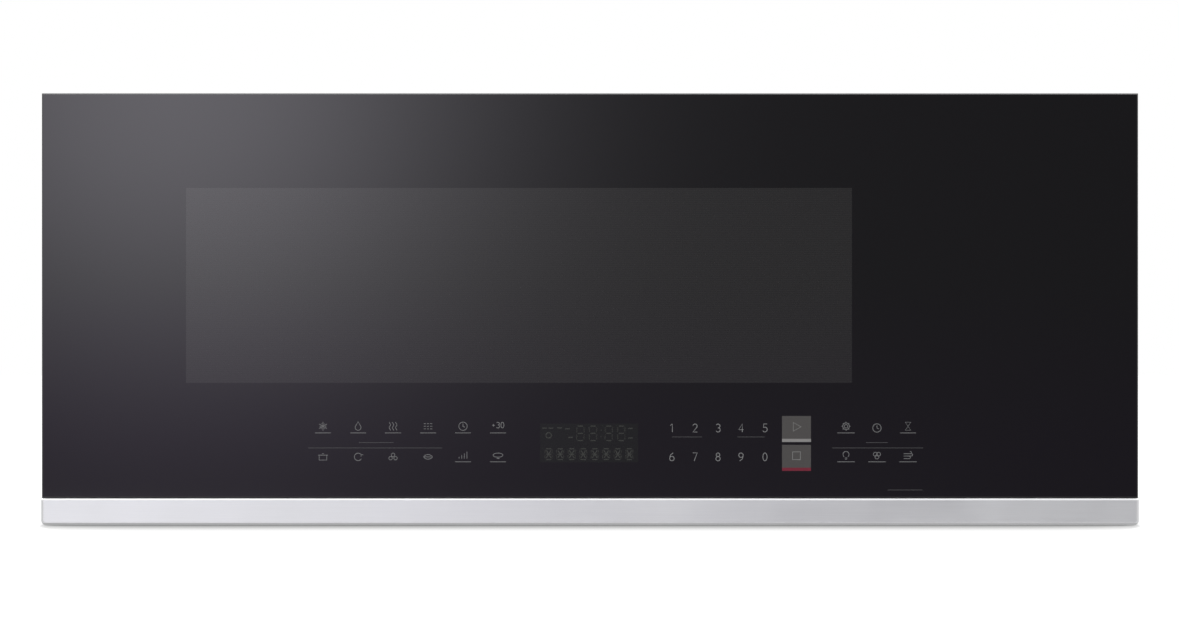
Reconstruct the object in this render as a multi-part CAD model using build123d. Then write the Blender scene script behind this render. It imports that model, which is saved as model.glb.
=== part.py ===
"""Low-profile over-the-range microwave oven, 30-inch class, with a full-width glass door.

All sizes are in millimetres.  The origin lies on the wall plane, at the bottom edge of the
casing's back and half way across.  +X points right as the user sees the oven, +Z points up,
and the front faces -Y.  Every piece of the oven is one file in the folder "parts".
"""

import os
from math import cos, radians, sin, tan

from build123d import *

# ---------------------------------------------------------------------------------------
# Driving dimensions
# ---------------------------------------------------------------------------------------

# The whole oven
WIDTH = 758.8            # the door glass, 29 7/8 in
HEIGHT = 299.3           # underside to top, 11 3/4 in
DEPTH = 460.0            # wall to the face of the glass, 18 1/8 in

# Sheet, walls and clearances
SHEET = 1.0              # steel sheet of the casing and the cavity
BEND_RADIUS = 1.5        # outside radius of a bent sheet edge
MOVE_GAP = 0.3           # between pieces that pass each other
RUN_GAP = 0.05           # radial, pin or shaft in its bore
SEAT_GAP = 0.1           # around a piece that is set into another
SCREW_RADIUS = 1.6
FINE_SIDES = 40          # sides of a large round piece that is drawn with flats
MANY_SIDES = 16          # sides of a middling one
FEW_SIDES = 6            # sides of a hidden bore or a screw's shank
SCREW_HEAD_RADIUS = 3.5
SCREW_HEAD = 1.6
SCREW_LENGTH = 7.0
TRIM_SCREW_LENGTH = 3.8  # short, so that it stays under the choke plate

# Door
DOOR_THICKNESS = 45.0
DOOR_GAP = 3.0           # between the door's back and the casing
DOOR_SIDE_LAP = 2.4      # the glass reaches this far past the casing on each side
DOOR_TOP_DROP = 0.5      # the glass stays this far below the cabinet's floor
GLASS_THICKNESS = 4.0
GLASS_EDGE = 0.8         # ground edge of the glass
TRIM_HEIGHT = 18.7
TRIM_SHEET = 1.0
TRIM_PROUD = 1.0         # the trim stands this far in front of the glass
TRIM_SIDE_PROUD = 0.5
TRIM_EDGE_RADIUS = 1.8   # the trim's long bent edges
TRIM_CORNER_RADIUS = 3.0
TRIM_LEDGE = 21.0        # the ledge under the glass, front to back
TRIM_LIP = 12.0          # the finger lip under the recess, front to back
FRAME_WALL = 2.0
FRAME_SIDE_INSET = 2.0   # frame behind the glass edge, at the sides
FRAME_TOP_INSET = 1.3
FRAME_RIB = 1.6
FRAME_RIB_DEPTH = 22.0
WELL_LEDGE = 5.0         # the ledge that the choke plate sits on

# Door hinge, at the left edge
HINGE_FROM_EDGE = 8.0    # pin centre from the edge of the glass
HINGE_FROM_BACK = 12.0   # pin centre from the door's back
PIN_RADIUS = 3.0
PIN_LENGTH = 12.0
TAB_THICKNESS = 2.0
TAB_HALF_WIDTH = 5.0
TAB_FROM_FRAME = 5.3     # the frame's end to the near face of the hinge tab
BUSH_RADIUS = 4.5
BUSH_FLANGE = 1.2
BUSH_LENGTH = 11.0
BOSS_HALF_WIDTH = 6.0
NOTCH_FRONT = 9.0        # room for the tab in the door frame, around the pin centre
NOTCH_RIGHT = 7.0
BRACKET_WIDTH = 30.0
BRACKET_HEIGHT = 26.0

# Choke of the door
CHOKE_CHANNEL = 26.0     # width of the channel around the cavity's mouth
CHOKE_DEPTH = 29.0
CHOKE_SHEET = 1.0
CHOKE_LIP = 9.0
CHOKE_SLOT = 3.0
CHOKE_PITCH = 52.0
SCREEN_INSET = 2.0       # the screen's edge inside the cavity's mouth
SCREEN_STEP = 4.0        # the screen's front face in front of the choke lips
PANE_THICKNESS = 1.6
PANE_MARGIN = 4.0
COVER_THICKNESS = 1.8
COVER_LAP = 10.0         # the choke cover laps the inner pane

# Touch controls behind the glass
BOARD_THICKNESS = 1.6
TOUCH_LEFT = -205.0
TOUCH_RIGHT = 238.0
TOUCH_BOTTOM = 30.0
TOUCH_TOP = 82.0
DISPLAY_X = -0.7
DISPLAY_Z = 56.8
DISPLAY_WIDTH = 69.0
DISPLAY_HEIGHT = 28.0
DISPLAY_DEPTH = 7.0

# Latch, in the right end of the door
LATCH_FROM_EDGE = 39.4   # the lever's middle from the right edge of the glass
HOOK_HEIGHTS = (78.0, 212.0)
LEVER_WIDTH = 8.0
LEVER_DEPTH = 10.0
LEVER_FROM_BACK = 13.0   # the lever's back face from the door's back
LEVER_END = 14.0         # the lever runs on past each hook
HOOK_HEIGHT = 8.0
HOOK_REACH = 16.0        # the hook's tip behind the front plate's face
HOOK_NOSE = 5.0
HOOK_NOSE_LENGTH = 5.0
LATCH_LIFT = 5.0
HOOK_SIDE_ROOM = 1.0
LATCH_BOARD_WIDTH = 40.0
LATCH_BOARD_WALL = 3.0
SWITCH_WIDTH = 12.0
SWITCH_DEPTH = 20.0
SWITCH_HEIGHT = 12.0
PLUNGER_WIDTH = 4.0
PLUNGER_LENGTH = 7.0
PLUNGER_TRAVEL = 1.5
SPRING_STRIP = 0.6
SPRING_WIDTH = 6.0
SPRING_INSET = 2.5

# Casing
FLANGE = 12.0
DUCT_WIDTH = 254.0       # 10 in, the exhaust opening
DUCT_LENGTH = 82.6       # 3 1/4 in
DUCT_FROM_WALL = 4.7
DUCT_SCREWS_X = 270.0
DUCT_SCREWS_Y = 60.0
DUCT_SCREW_HOLE = 2.1
BOLT_SPACING = 640.0     # 1/4-20 bolts through the cabinet floor
BOLT_FROM_WALL = 263.5
BOLT_HOLE = 3.6
NUT_RADIUS = 6.4
NUT_BORE = 3.3
NUT_HEIGHT = 6.0
HOOK_SLOT_SPACING = 560.0
HOOK_SLOT_LENGTH = 30.0
HOOK_SLOT_RADIUS = 3.5
HOOK_SLOT_HEIGHT = 20.0
CORD_FROM_SIDE = 59.0
CORD_FROM_WALL = 60.0
CORD_HOLE = 11.0
BUSHING_BORE = 6.0
BUSHING_FLANGE = 3.0     # the hexagon flange reaches this far past the hole
BUSHING_FLANGE_HEIGHT = 2.5
BEAD_WIDTH = 12.0
BEAD_DEPTH = 2.0
GRILLE_WIDTH = 480.0
GRILLE_LENGTH = 44.0
GRILLE_FROM_FRONT = 9.0
GRILLE_FLANGE = 6.0
GRILLE_WALL = 2.0
GRILLE_HEIGHT = 8.0
SLAT_PITCH = 8.0
SLAT_THICKNESS = 1.6
SLAT_LEAN = 35.0         # degrees from upright
GRILLE_RIBS = 3
CHARCOAL_HEIGHT = 16.0
CHARCOAL_FRAME = 5.0

# Cavity
CAVITY_FROM_LEFT = 43.0  # the air channel left of the cavity
CAVITY_FROM_RIGHT = 141.0  # the machine bay right of the cavity
CAVITY_HEIGHT = 195.0
CAVITY_DEPTH = 320.0
CAVITY_FLOOR = 48.0
MOUTH_CORNER = 3.0
GROOVE_FROM_TRACK = 16.0  # the pressed groove lies outside the rollers' track
GROOVE_WIDTH = 8.0
GROOVE_DEPTH = 0.4
CAVITY_LAMP_WIDTH = 30.0
CAVITY_LAMP_HEIGHT = 20.0
CAVITY_LAMP_DEPTH = 10.0
CAVITY_LAMP_DROP = 30.0  # the lamp's middle below the ceiling
CAVITY_LAMP_LAP = 3.0    # the housing laps the wall around the opening

# Turntable
TRAY_RADIUS = 150.0
TRAY_THICKNESS = 5.0
TRAY_RIM = 8.0           # rim above the tray's plate
TRAY_WALL = 4.5
ROLLER_RADIUS = 8.5
ROLLER_WIDTH = 7.0
ROLLER_FROM_RIM = 44.0   # the rollers' track inside the tray's rim
ROLLERS = 3
AXLE_RADIUS = 2.5
AXLE_HEAD = 4.0
AXLE_HEAD_LENGTH = 1.5
RING_FROM_TRACK = 8.0    # the ring's outside from the rollers' track
RING_WIDTH = 10.0
RING_THICKNESS = 4.0
COUPLER_RADIUS = 19.5
COUPLER_HUB = 7.5
COUPLER_LOBES = 3
LOBE_WIDTH = 9.0
LUG_RADIUS = 5.0
LUG_CIRCLE = 24.0
SHAFT_RADIUS = 3.0
SHAFT_DEPTH = 5.0        # the shaft reaches into the motor
MOTOR_RADIUS = 24.0
MOTOR_HEIGHT = 15.0
MOTOR_EAR_WIDTH = 14.0
MOTOR_EAR_REACH = 12.0
MOTOR_PLUG_REACH = 8.0

# Base: grease filters and cooktop lamps
FILTER_WIDTH = 194.0
FILTER_LENGTH = 128.0
FILTER_THICKNESS = 8.0
FILTER_FRAME = 9.0
FILTER_MESH = 2.5
FILTER_SPACING = 352.0
FILTER_FROM_WALL = 62.0
FILTER_EDGE_GAP = 2.0    # the base plate's hem behind a filter's rear edge
FILTER_HEM = 1.0         # radius of the rolled hem that the filter's tabs tip on
FILTER_TAB = 5.0
FILTER_TAB_WIDTH = 15.0
FILTER_TAB_THICKNESS = 2.0
FILTER_CORNER = 3.0
FILTER_PULL_WIDTH = 36.0
FILTER_PULL_LENGTH = 18.0
LAMP_SPACING = 420.0
LAMP_WIDTH = 110.0
LAMP_LENGTH = 58.0
LAMP_FROM_FRONT = 20.0
LAMP_COVER = 3.0
LAMP_SIDE_GAP = 0.5
LAMP_SWING = 4.0         # the base plate's edge behind a lamp cover's hinge
LAMP_KNUCKLE = 2.5
LAMP_AXIS_HEIGHT = 3.0
LAMP_PIN = 1.2
LAMP_EAR = 2.0
LAMP_BRIDGE_HEIGHT = 14.0
LAMP_BRIDGE_WIDTH = 24.0
LAMP_COVER_CORNER = 4.0
LAMP_COVER_RIM = 8.0
LAMP_BOARD = 22.0
LAMP_BOARD_HEIGHT = 3.0
INTAKE_SLOTS = 7
INTAKE_SLOT = 5.0
INTAKE_LENGTH = 56.0
INTAKE_PITCH = 14.0
INTAKE_FROM_FRONT = 138.0

# Ventilation blower, behind the cavity
WHEEL_RADIUS = 33.0
WHEEL_LENGTH = 68.0
WHEEL_BLADES = 18
BLADE_DEPTH = 7.0
BLADE_THICKNESS = 1.2
BLADE_LEAN = 14.0        # degrees that the blade's tip runs ahead of its root
WHEEL_RING = 3.0
WHEEL_DISC = 2.0
WHEEL_HUB = 9.0
WHEEL_HUB_LENGTH = 14.0
BLOWER_SHAFT = 4.0
BLOWER_AXIS_HEIGHT = 150.0
BLOWER_WALL = 1.0
BLOWER_PARTITION = 45.0  # half the width of the motor's chamber
WHEEL_END_GAP = 6.0
INLET_RADIUS = 27.0
TONGUE_LOW = 22.0        # the tongue's foot above the axis
TONGUE_HIGH = 44.0
TONGUE_REACH = 13.0
TONGUE_TIP = 30.0
BLOWER_MOTOR_RADIUS = 30.0
BLOWER_MOTOR_LENGTH = 72.0
MOTOR_BAR = 16.0
MOTOR_BAR_THICKNESS = 2.0

# Machine bay, right of the cavity
WAVEGUIDE_DEPTH = 28.0
WAVEGUIDE_LENGTH = 130.0
WAVEGUIDE_HEIGHT = 62.0
WAVEGUIDE_FROM_FRONT = 67.0
WAVEGUIDE_BOTTOM = 150.0
FEED_LENGTH = 42.0
FEED_HEIGHT = 48.0
FEED_MARGIN = 10.0
MICA = 0.8
ANTENNA_RADIUS = 9.0
ANTENNA_LENGTH = 20.0
MAGNETRON_LENGTH = 74.0
MAGNETRON_WIDTH = 90.0
MAGNETRON_HEIGHT = 74.0
MAGNETRON_PLATE = 2.0
MAGNET_RADIUS = 27.0
MAGNET_HEIGHT = 10.0
ANODE_WIDTH = 40.0
FINS = 7
FIN_THICKNESS = 1.0
FIN_INSET = 4.0
FILTER_BOX_HEIGHT = 24.0
FILTER_BOX_INSET = 15.0
FAN_Z = 180.0
FAN_FROM_WALL = 172.0
FAN_RADIUS = 48.0
FAN_TIP_GAP = 3.0
FAN_HUB = 15.0
FAN_BLADES = 5
FAN_BLADE_THICKNESS = 1.6
FAN_BLADE_PITCH = 38.0   # degrees from the fan's plane
FAN_BLADE_WIDTH = 26.0
FAN_BLADE_ROOT = 13.0    # the blades start inside the hub
FAN_DEPTH = 16.0
SHROUD_SIDE_GAP = 4.5    # the shroud's edge from the casing's side
SHROUD_HEIGHT = 130.0
SHROUD_WALL = 2.0
SHROUD_COLLAR = 14.0
FAN_MOTOR_WIDTH = 52.0
FAN_MOTOR_HEIGHT = 46.0
FAN_MOTOR_LENGTH = 16.0
FAN_COIL_WIDTH = 22.0
FAN_COIL_HEIGHT = 18.0
FAN_COIL_PROUD = 8.0
FAN_BEARING_RADIUS = 9.0
FAN_BEARING_LENGTH = 10.0
FAN_SHAFT = 2.5
FAN_ARM = 8.0

# Circuit boards and what stands on them
BOARD_STANDOFF = 9.0
POST_WIDTH = 6.0
POST_INSET = 6.0
INVERTER_FROM_FRONT = 82.0
INVERTER_LENGTH = 130.0
INVERTER_SIDE_GAP = 8.5
TRANSFORMER_WIDTH = 46.0
TRANSFORMER_LENGTH = 56.0
TRANSFORMER_HEIGHT = 40.0
TRANSFORMER_INSET = 10.0
TRANSFORMER_WINDOW = 10.0
TRANSFORMER_YOKE = 8.0
SINK_WIDTH = 40.0
SINK_LENGTH = 70.0
SINK_BASE = 6.0
SINK_HEIGHT = 32.0
SINK_INSET = 6.0
SINK_FINS = 6
SINK_FIN = 2.0
CAPACITORS = 3
CAPACITOR_WIDTH = 18.0
CAPACITOR_LENGTH = 26.0
CAPACITOR_HEIGHT = 30.0
CAPACITOR_PITCH = 26.0
MAIN_BOARD_FROM_WALL = 40.0
MAIN_BOARD_LENGTH = 110.0
MAIN_BOARD_BOTTOM = 60.0
MAIN_BOARD_HEIGHT = 140.0
MAIN_BOARD_GAP = 4.0
RELAYS = 3
RELAY_WIDTH = 18.0
RELAY_HEIGHT = 22.0
RELAY_DEPTH = 16.0
RELAY_PITCH = 30.0
MAINS_COIL_LENGTH = 36.0
MAINS_COIL_HEIGHT = 40.0
MAINS_COIL_DEPTH = 30.0
PLUG_ROW_LENGTH = 30.0
PLUG_ROW_HEIGHT = 24.0
PLUG_ROW_DEPTH = 10.0
NOISE_WIDTH = 50.0
NOISE_LENGTH = 70.0
NOISE_FROM_BAY = 8.0
NOISE_FROM_WALL = 42.0
NOISE_GAP = 6.0
CHOKE_COIL = 13.0        # radius of the mains filter's ring coil
CHOKE_COIL_HEIGHT = 16.0


# ---------------------------------------------------------------------------------------
# Places that follow from the driving dimensions
# ---------------------------------------------------------------------------------------

GLASS_HALF = WIDTH / 2
GLASS_FRONT = -DEPTH
GLASS_BACK = GLASS_FRONT + GLASS_THICKNESS
DOOR_BACK = GLASS_FRONT + DOOR_THICKNESS
CASE_FRONT = DOOR_BACK + DOOR_GAP
CASE_HALF = GLASS_HALF - DOOR_SIDE_LAP
CASE_TOP = HEIGHT
GLASS_TOP = HEIGHT - DOOR_TOP_DROP
INNER_HALF = CASE_HALF - SHEET
INNER_FRONT = CASE_FRONT + SHEET
INNER_BACK = -SHEET
INNER_TOP = CASE_TOP - SHEET

CAVITY_X = (-CASE_HALF + CAVITY_FROM_LEFT, CASE_HALF - CAVITY_FROM_RIGHT)
CAVITY_Y = (INNER_FRONT, INNER_FRONT + CAVITY_DEPTH)
CAVITY_Z = (CAVITY_FLOOR, CAVITY_FLOOR + CAVITY_HEIGHT)
TURN_X = (CAVITY_X[0] + CAVITY_X[1]) / 2
TURN_Y = (CAVITY_Y[0] + CAVITY_Y[1]) / 2

HINGE_X = -GLASS_HALF + HINGE_FROM_EDGE
HINGE_Y = DOOR_BACK - HINGE_FROM_BACK

FRAME_X = (-GLASS_HALF + FRAME_SIDE_INSET, GLASS_HALF - FRAME_SIDE_INSET)
FRAME_Z = (TRIM_HEIGHT, GLASS_TOP - FRAME_TOP_INSET)
WEB_Y = (DOOR_BACK - FRAME_WALL, DOOR_BACK)
CHOKE_X = (CAVITY_X[0] - CHOKE_CHANNEL, CAVITY_X[1] + CHOKE_CHANNEL)
CHOKE_Z = (CAVITY_Z[0] - CHOKE_CHANNEL, CAVITY_Z[1] + CHOKE_CHANNEL)
CHOKE_Y = (WEB_Y[0] - CHOKE_DEPTH, WEB_Y[0])
SCREEN_X = (CAVITY_X[0] + SCREEN_INSET, CAVITY_X[1] - SCREEN_INSET)
SCREEN_Z = (CAVITY_Z[0] + SCREEN_INSET, CAVITY_Z[1] - SCREEN_INSET)

ROLLER_TRACK = TRAY_RADIUS - ROLLER_FROM_RIM
RING_OUTER = ROLLER_TRACK - RING_FROM_TRACK
RING_INNER = RING_OUTER - RING_WIDTH

LATCH_X = GLASS_HALF - LATCH_FROM_EDGE
LEVER_Y = (DOOR_BACK - LEVER_FROM_BACK - LEVER_DEPTH, DOOR_BACK - LEVER_FROM_BACK)
HOOK_TIP = CASE_FRONT + HOOK_REACH

DUCT_Y = (-DUCT_FROM_WALL - DUCT_LENGTH, -DUCT_FROM_WALL)
BLOWER_Y = (DUCT_Y[0] + DUCT_Y[1]) / 2
GRILLE_Y = (CASE_FRONT + GRILLE_FROM_FRONT, CASE_FRONT + GRILLE_FROM_FRONT + GRILLE_LENGTH)

FILTER_Y = (-FILTER_FROM_WALL - FILTER_LENGTH, -FILTER_FROM_WALL)
FILTER_AXIS = (FILTER_Y[1] + FILTER_EDGE_GAP + FILTER_HEM, FILTER_HEM)
FILTER_CENTRES = (TURN_X - FILTER_SPACING / 2, TURN_X + FILTER_SPACING / 2)
LAMP_Y = (CASE_FRONT + LAMP_FROM_FRONT, CASE_FRONT + LAMP_FROM_FRONT + LAMP_LENGTH)
LAMP_CENTRES = (-LAMP_SPACING / 2, LAMP_SPACING / 2)

BAY_X = (CAVITY_X[1] + SHEET, INNER_HALF)
CORD_X = CASE_HALF - CORD_FROM_SIDE
FAN_X = (BAY_X[0] + BAY_X[1]) / 2
FEED_Y = (CASE_FRONT + WAVEGUIDE_FROM_FRONT + FEED_MARGIN,
          CASE_FRONT + WAVEGUIDE_FROM_FRONT + FEED_MARGIN + FEED_LENGTH)
WAVEGUIDE_Z_MIDDLE = WAVEGUIDE_BOTTOM + WAVEGUIDE_HEIGHT / 2
MAGNETRON_Y = CASE_FRONT + WAVEGUIDE_FROM_FRONT + WAVEGUIDE_LENGTH - MAGNETRON_WIDTH / 2


# ---------------------------------------------------------------------------------------
# Shapes that several pieces use
# ---------------------------------------------------------------------------------------

def middle(span):
    """The value half way between the two ends of a span."""
    return (span[0] + span[1]) / 2


def about(centre, size):
    """A span of the given size around a centre."""
    return (centre - size / 2, centre + size / 2)


def grown(span, by):
    """A span moved outwards at both ends, or inwards if by is negative."""
    return (span[0] - by, span[1] + by)


def block(x, y, z):
    """A box between three spans."""
    size = Box(abs(x[1] - x[0]), abs(y[1] - y[0]), abs(z[1] - z[0]))
    return Pos(middle(x), middle(y), middle(z)) * size


def ring(x, y, z, wall):
    """A rectangular frame that is open front to back, with its wall inside the spans."""
    return block(x, y, z) - block(grown(x, -wall), y, grown(z, -wall))


def rod_x(span, y, z, radius):
    """A round bar along X."""
    return Pos(middle(span), y, z) * Rot(0, 90, 0) * Cylinder(radius, span[1] - span[0])


def rod_y(x, span, z, radius):
    """A round bar along Y."""
    return Pos(x, middle(span), z) * Rot(90, 0, 0) * Cylinder(radius, span[1] - span[0])


def rod_z(x, y, span, radius):
    """A round bar along Z."""
    return Pos(x, y, middle(span)) * Cylinder(radius, span[1] - span[0])


def all_of(shapes):
    """Several separate solids as one piece."""
    return Compound(children=list(shapes))


def along_x(profile, span):
    """A profile drawn in the YZ plane, drawn out along X."""
    return extrude(Plane.YZ.offset(span[0]) * profile, span[1] - span[0], dir=(1, 0, 0))


def sided_x(span, y, z, radius, sides, bore=False):
    """A many-sided bar along X, inside the circle of its radius, or around it for a bore."""
    profile = RegularPolygon(radius, sides, major_radius=not bore)
    bar = extrude(profile, (span[1] - span[0]) / 2, both=True)
    return Pos(middle(span), y, z) * Rot(0, 90, 0) * bar


def sided_y(x, span, z, radius, sides, bore=False):
    """A many-sided bar along Y, inside the circle of its radius, or around it for a bore."""
    profile = RegularPolygon(radius, sides, major_radius=not bore)
    bar = extrude(profile, (span[1] - span[0]) / 2, both=True)
    return Pos(x, middle(span), z) * Rot(90, 0, 0) * bar


def sided_z(x, y, span, radius, sides, bore=False):
    """A many-sided bar along Z, inside the circle of its radius, or around it for a bore."""
    profile = RegularPolygon(radius, sides, major_radius=not bore)
    return Pos(x, y, middle(span)) * extrude(profile, (span[1] - span[0]) / 2, both=True)


def screw_hole(place, length):
    """What a screw's clearance hole takes out of a sheet around the place."""
    return place * sided_z(0, 0, about(0, length), SCREW_RADIUS + SEAT_GAP, FEW_SIDES)


def sheet_screw(place, length):
    """A hexagon-headed screw: its head's underside is at the place, its shank points to -Z."""
    head = sided_z(0, 0, (0, SCREW_HEAD), SCREW_HEAD_RADIUS, 6)
    return place * (head + sided_z(0, 0, (-length, 0), SCREW_RADIUS, FEW_SIDES))


# ---------------------------------------------------------------------------------------
# Casing
# ---------------------------------------------------------------------------------------

def side_screw_places():
    """Where the casing's screws sit: on both sides, near the four corners of each."""
    places = []
    for side in (-1, 1):
        for y in (INNER_FRONT + FLANGE + SCREW_HEAD_RADIUS, INNER_BACK - FLANGE - SCREW_HEAD_RADIUS):
            for z in (FLANGE, CASE_TOP - FLANGE):
                places.append(Pos(side * CASE_HALF, y, z) * Rot(0, side * 90, 0))
    return places


def side_panel(side):
    """A side of the casing: a sheet with all four edges bent inwards."""
    outer = sorted((side * CASE_HALF, side * (CASE_HALF - FLANGE)))
    inner = sorted((side * INNER_HALF, side * (CASE_HALF - FLANGE)))
    depth = (INNER_FRONT, INNER_BACK)
    pan = block(outer, depth, (0, CASE_TOP))
    face = pan.faces().sort_by(Axis.X)[-1 if side > 0 else 0]
    pan = fillet(face.edges().filter_by(Axis.Z), BEND_RADIUS)
    pan -= block(inner, grown(depth, -SHEET), (SHEET, CASE_TOP - SHEET))
    # the top and base plates lie on the bent edges, inside the sheet
    pan -= block(inner, grown(depth, SHEET), (INNER_TOP, CASE_TOP))
    pan -= block(inner, grown(depth, SHEET), (0, SHEET))
    pan += block(inner, depth, (INNER_TOP - SHEET, INNER_TOP))
    pan += block(inner, depth, (SHEET, 2 * SHEET))
    for place in side_screw_places():
        pan -= screw_hole(place, 4 * SHEET)
    if side < 0:
        for z in (lower_tab_z(), upper_tab_z()):
            pan -= tab_passage(z)
    return pan


def back_panel():
    """The flat back, with slots for the wall plate's hooks and two pressed beads."""
    panel = block((-CASE_HALF, CASE_HALF), (-SHEET, 0), (0, CASE_TOP))
    for side in (-1, 1):
        slot = SlotOverall(HOOK_SLOT_LENGTH, 2 * HOOK_SLOT_RADIUS)
        cut = extrude(Plane.XZ * slot, SHEET, both=True)
        panel -= Pos(side * HOOK_SLOT_SPACING / 2, 0, HOOK_SLOT_HEIGHT) * cut
        x = about(side * HOOK_SLOT_SPACING / 2, BEAD_WIDTH)
        z = (3 * HOOK_SLOT_HEIGHT, CASE_TOP - 3 * HOOK_SLOT_HEIGHT)
        panel += block(x, (-SHEET - BEAD_DEPTH, -SHEET), z)
        panel -= block(grown(x, -SHEET), (-BEAD_DEPTH, 0), grown(z, -SHEET))
    return panel


def top_plate():
    """The top, which hangs from the cabinet: exhaust, grille, bolt and cord openings."""
    plate = block((-INNER_HALF, INNER_HALF), (INNER_FRONT, INNER_BACK), (INNER_TOP, CASE_TOP))
    beyond = grown((INNER_TOP, CASE_TOP), SHEET)
    plate -= block(about(0, DUCT_WIDTH), DUCT_Y, beyond)
    plate -= block(about(0, GRILLE_WIDTH), GRILLE_Y, beyond)
    plate -= sided_z(CORD_X, -CORD_FROM_WALL, beyond, CORD_HOLE, MANY_SIDES)
    for side in (-1, 1):
        plate -= rod_z(side * BOLT_SPACING / 2, -BOLT_FROM_WALL, beyond, BOLT_HOLE)
        for row in (-1, 1):
            y = BLOWER_Y + row * DUCT_SCREWS_Y / 2
            plate -= rod_z(side * DUCT_SCREWS_X / 2, y, beyond, DUCT_SCREW_HOLE)
    # two pressed beads stiffen the plate between the grille and the exhaust
    run = (-BOLT_SPACING / 2 + 3 * NUT_RADIUS, BOLT_SPACING / 2 - 3 * NUT_RADIUS)
    for y in (GRILLE_Y[1] + 2 * BEAD_WIDTH, DUCT_Y[0] - 3 * BEAD_WIDTH):
        width = about(y, BEAD_WIDTH)
        plate += block(run, width, (INNER_TOP - BEAD_DEPTH, INNER_TOP))
        plate -= block(grown(run, -SHEET), grown(width, -SHEET), (CASE_TOP - BEAD_DEPTH, CASE_TOP))
    return plate


def weld_nuts():
    """Two hexagon nuts under the top plate, for the bolts through the cabinet's floor."""
    nuts = []
    for side in (-1, 1):
        place = (side * BOLT_SPACING / 2, -BOLT_FROM_WALL, (INNER_TOP - NUT_HEIGHT, INNER_TOP))
        nuts.append(sided_z(*place, NUT_RADIUS, 6) - sided_z(*place, NUT_BORE, MANY_SIDES, bore=True))
    return all_of(nuts)


def cord_bushing():
    """The bushing where the supply cord leaves through the top, with a hexagon flange."""
    flange = (INNER_TOP - BUSHING_FLANGE_HEIGHT, INNER_TOP)
    body = sided_z(CORD_X, -CORD_FROM_WALL, flange, CORD_HOLE + BUSHING_FLANGE, 6)
    sheet = (INNER_TOP, CASE_TOP)
    body += sided_z(CORD_X, -CORD_FROM_WALL, sheet, CORD_HOLE - SEAT_GAP, MANY_SIDES)
    bore = (flange[0], CASE_TOP)
    return body - sided_z(CORD_X, -CORD_FROM_WALL, bore, BUSHING_BORE, MANY_SIDES, bore=True)


def exhaust_grille():
    """The louvred outlet in the top, just behind the door, with lips for the charcoal filter."""
    x = about(0, GRILLE_WIDTH)
    opening_x = grown(x, -SEAT_GAP)
    opening_y = grown(GRILLE_Y, -SEAT_GAP)
    height = (CASE_TOP - GRILLE_HEIGHT, CASE_TOP)
    inside_x = grown(opening_x, -GRILLE_WALL)
    inside_y = grown(opening_y, -GRILLE_WALL)
    rim = block(opening_x, opening_y, height)
    rim += block(grown(x, GRILLE_FLANGE), grown(GRILLE_Y, GRILLE_FLANGE),
                 (INNER_TOP - GRILLE_WALL, INNER_TOP))
    rim -= block(inside_x, inside_y, grown(height, 1))
    lean = GRILLE_HEIGHT * tan(radians(SLAT_LEAN))
    half = SLAT_THICKNESS / cos(radians(SLAT_LEAN)) / 2
    count = int((inside_y[1] - inside_y[0] - lean) / SLAT_PITCH)
    first = middle(inside_y) - (count - 1) * SLAT_PITCH / 2
    for index in range(count):
        y = first + index * SLAT_PITCH
        slat = Polygon((y + lean / 2 - half, height[0]), (y + lean / 2 + half, height[0]),
                       (y - lean / 2 + half, height[1]), (y - lean / 2 - half, height[1]),
                       align=None)
        rim += along_x(slat, inside_x)
    pitch = (inside_x[1] - inside_x[0]) / (GRILLE_RIBS + 1)
    for index in range(GRILLE_RIBS):
        x_rib = about(inside_x[0] + (index + 1) * pitch, SLAT_THICKNESS)
        rim += block(x_rib, inside_y, (height[0], height[1] - SLAT_THICKNESS))
    # a wall at each end reaches down and turns inwards under the charcoal filter
    foot = height[0] - MOVE_GAP - CHARCOAL_HEIGHT
    for side in (-1, 1):
        end = sorted((side * opening_x[1], side * inside_x[1]))
        lip = sorted((side * opening_x[1], side * (inside_x[1] - GRILLE_FLANGE)))
        rim += block(end, opening_y, (foot, height[0]))
        rim += block(lip, opening_y, (foot - GRILLE_WALL, foot))
    return rim


def charcoal_filter():
    """A pad of charcoal in a frame, which lies on the grille's lips."""
    x = grown(about(0, GRILLE_WIDTH), -SEAT_GAP - GRILLE_WALL - MOVE_GAP)
    y = grown(GRILLE_Y, -SEAT_GAP)
    top = CASE_TOP - GRILLE_HEIGHT - MOVE_GAP
    z = (top - CHARCOAL_HEIGHT, top)
    hollow = block(grown(x, -CHARCOAL_FRAME), grown(y, -CHARCOAL_FRAME), grown(z, 1))
    frame = block(x, y, z) - hollow
    pad = block(grown(x, -CHARCOAL_FRAME), grown(y, -CHARCOAL_FRAME), grown(z, -CHARCOAL_FRAME / 2))
    return all_of([frame, pad])


def front_plate():
    """The plate around the cavity's mouth, with slots for the hinge tabs and the hooks."""
    plate = block((-CASE_HALF, CASE_HALF), (CASE_FRONT, INNER_FRONT), (0, CASE_TOP))
    mouth = block(CAVITY_X, grown((CASE_FRONT, INNER_FRONT), 1), CAVITY_Z)
    plate -= chamfer(mouth.edges().filter_by(Axis.Y), MOUTH_CORNER)
    for z in (lower_tab_z(), upper_tab_z()):
        plate -= tab_passage(z)
    for z in HOOK_HEIGHTS:
        plate -= hook_passage(z, (CASE_FRONT - SHEET, INNER_FRONT))
    return plate


def filter_opening(centre):
    """The room for a grease filter in the base plate, as spans along X and Y."""
    x = grown(about(centre, FILTER_WIDTH), SHEET)
    y = (FILTER_Y[0] - SHEET, FILTER_AXIS[0])
    return x, y


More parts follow.
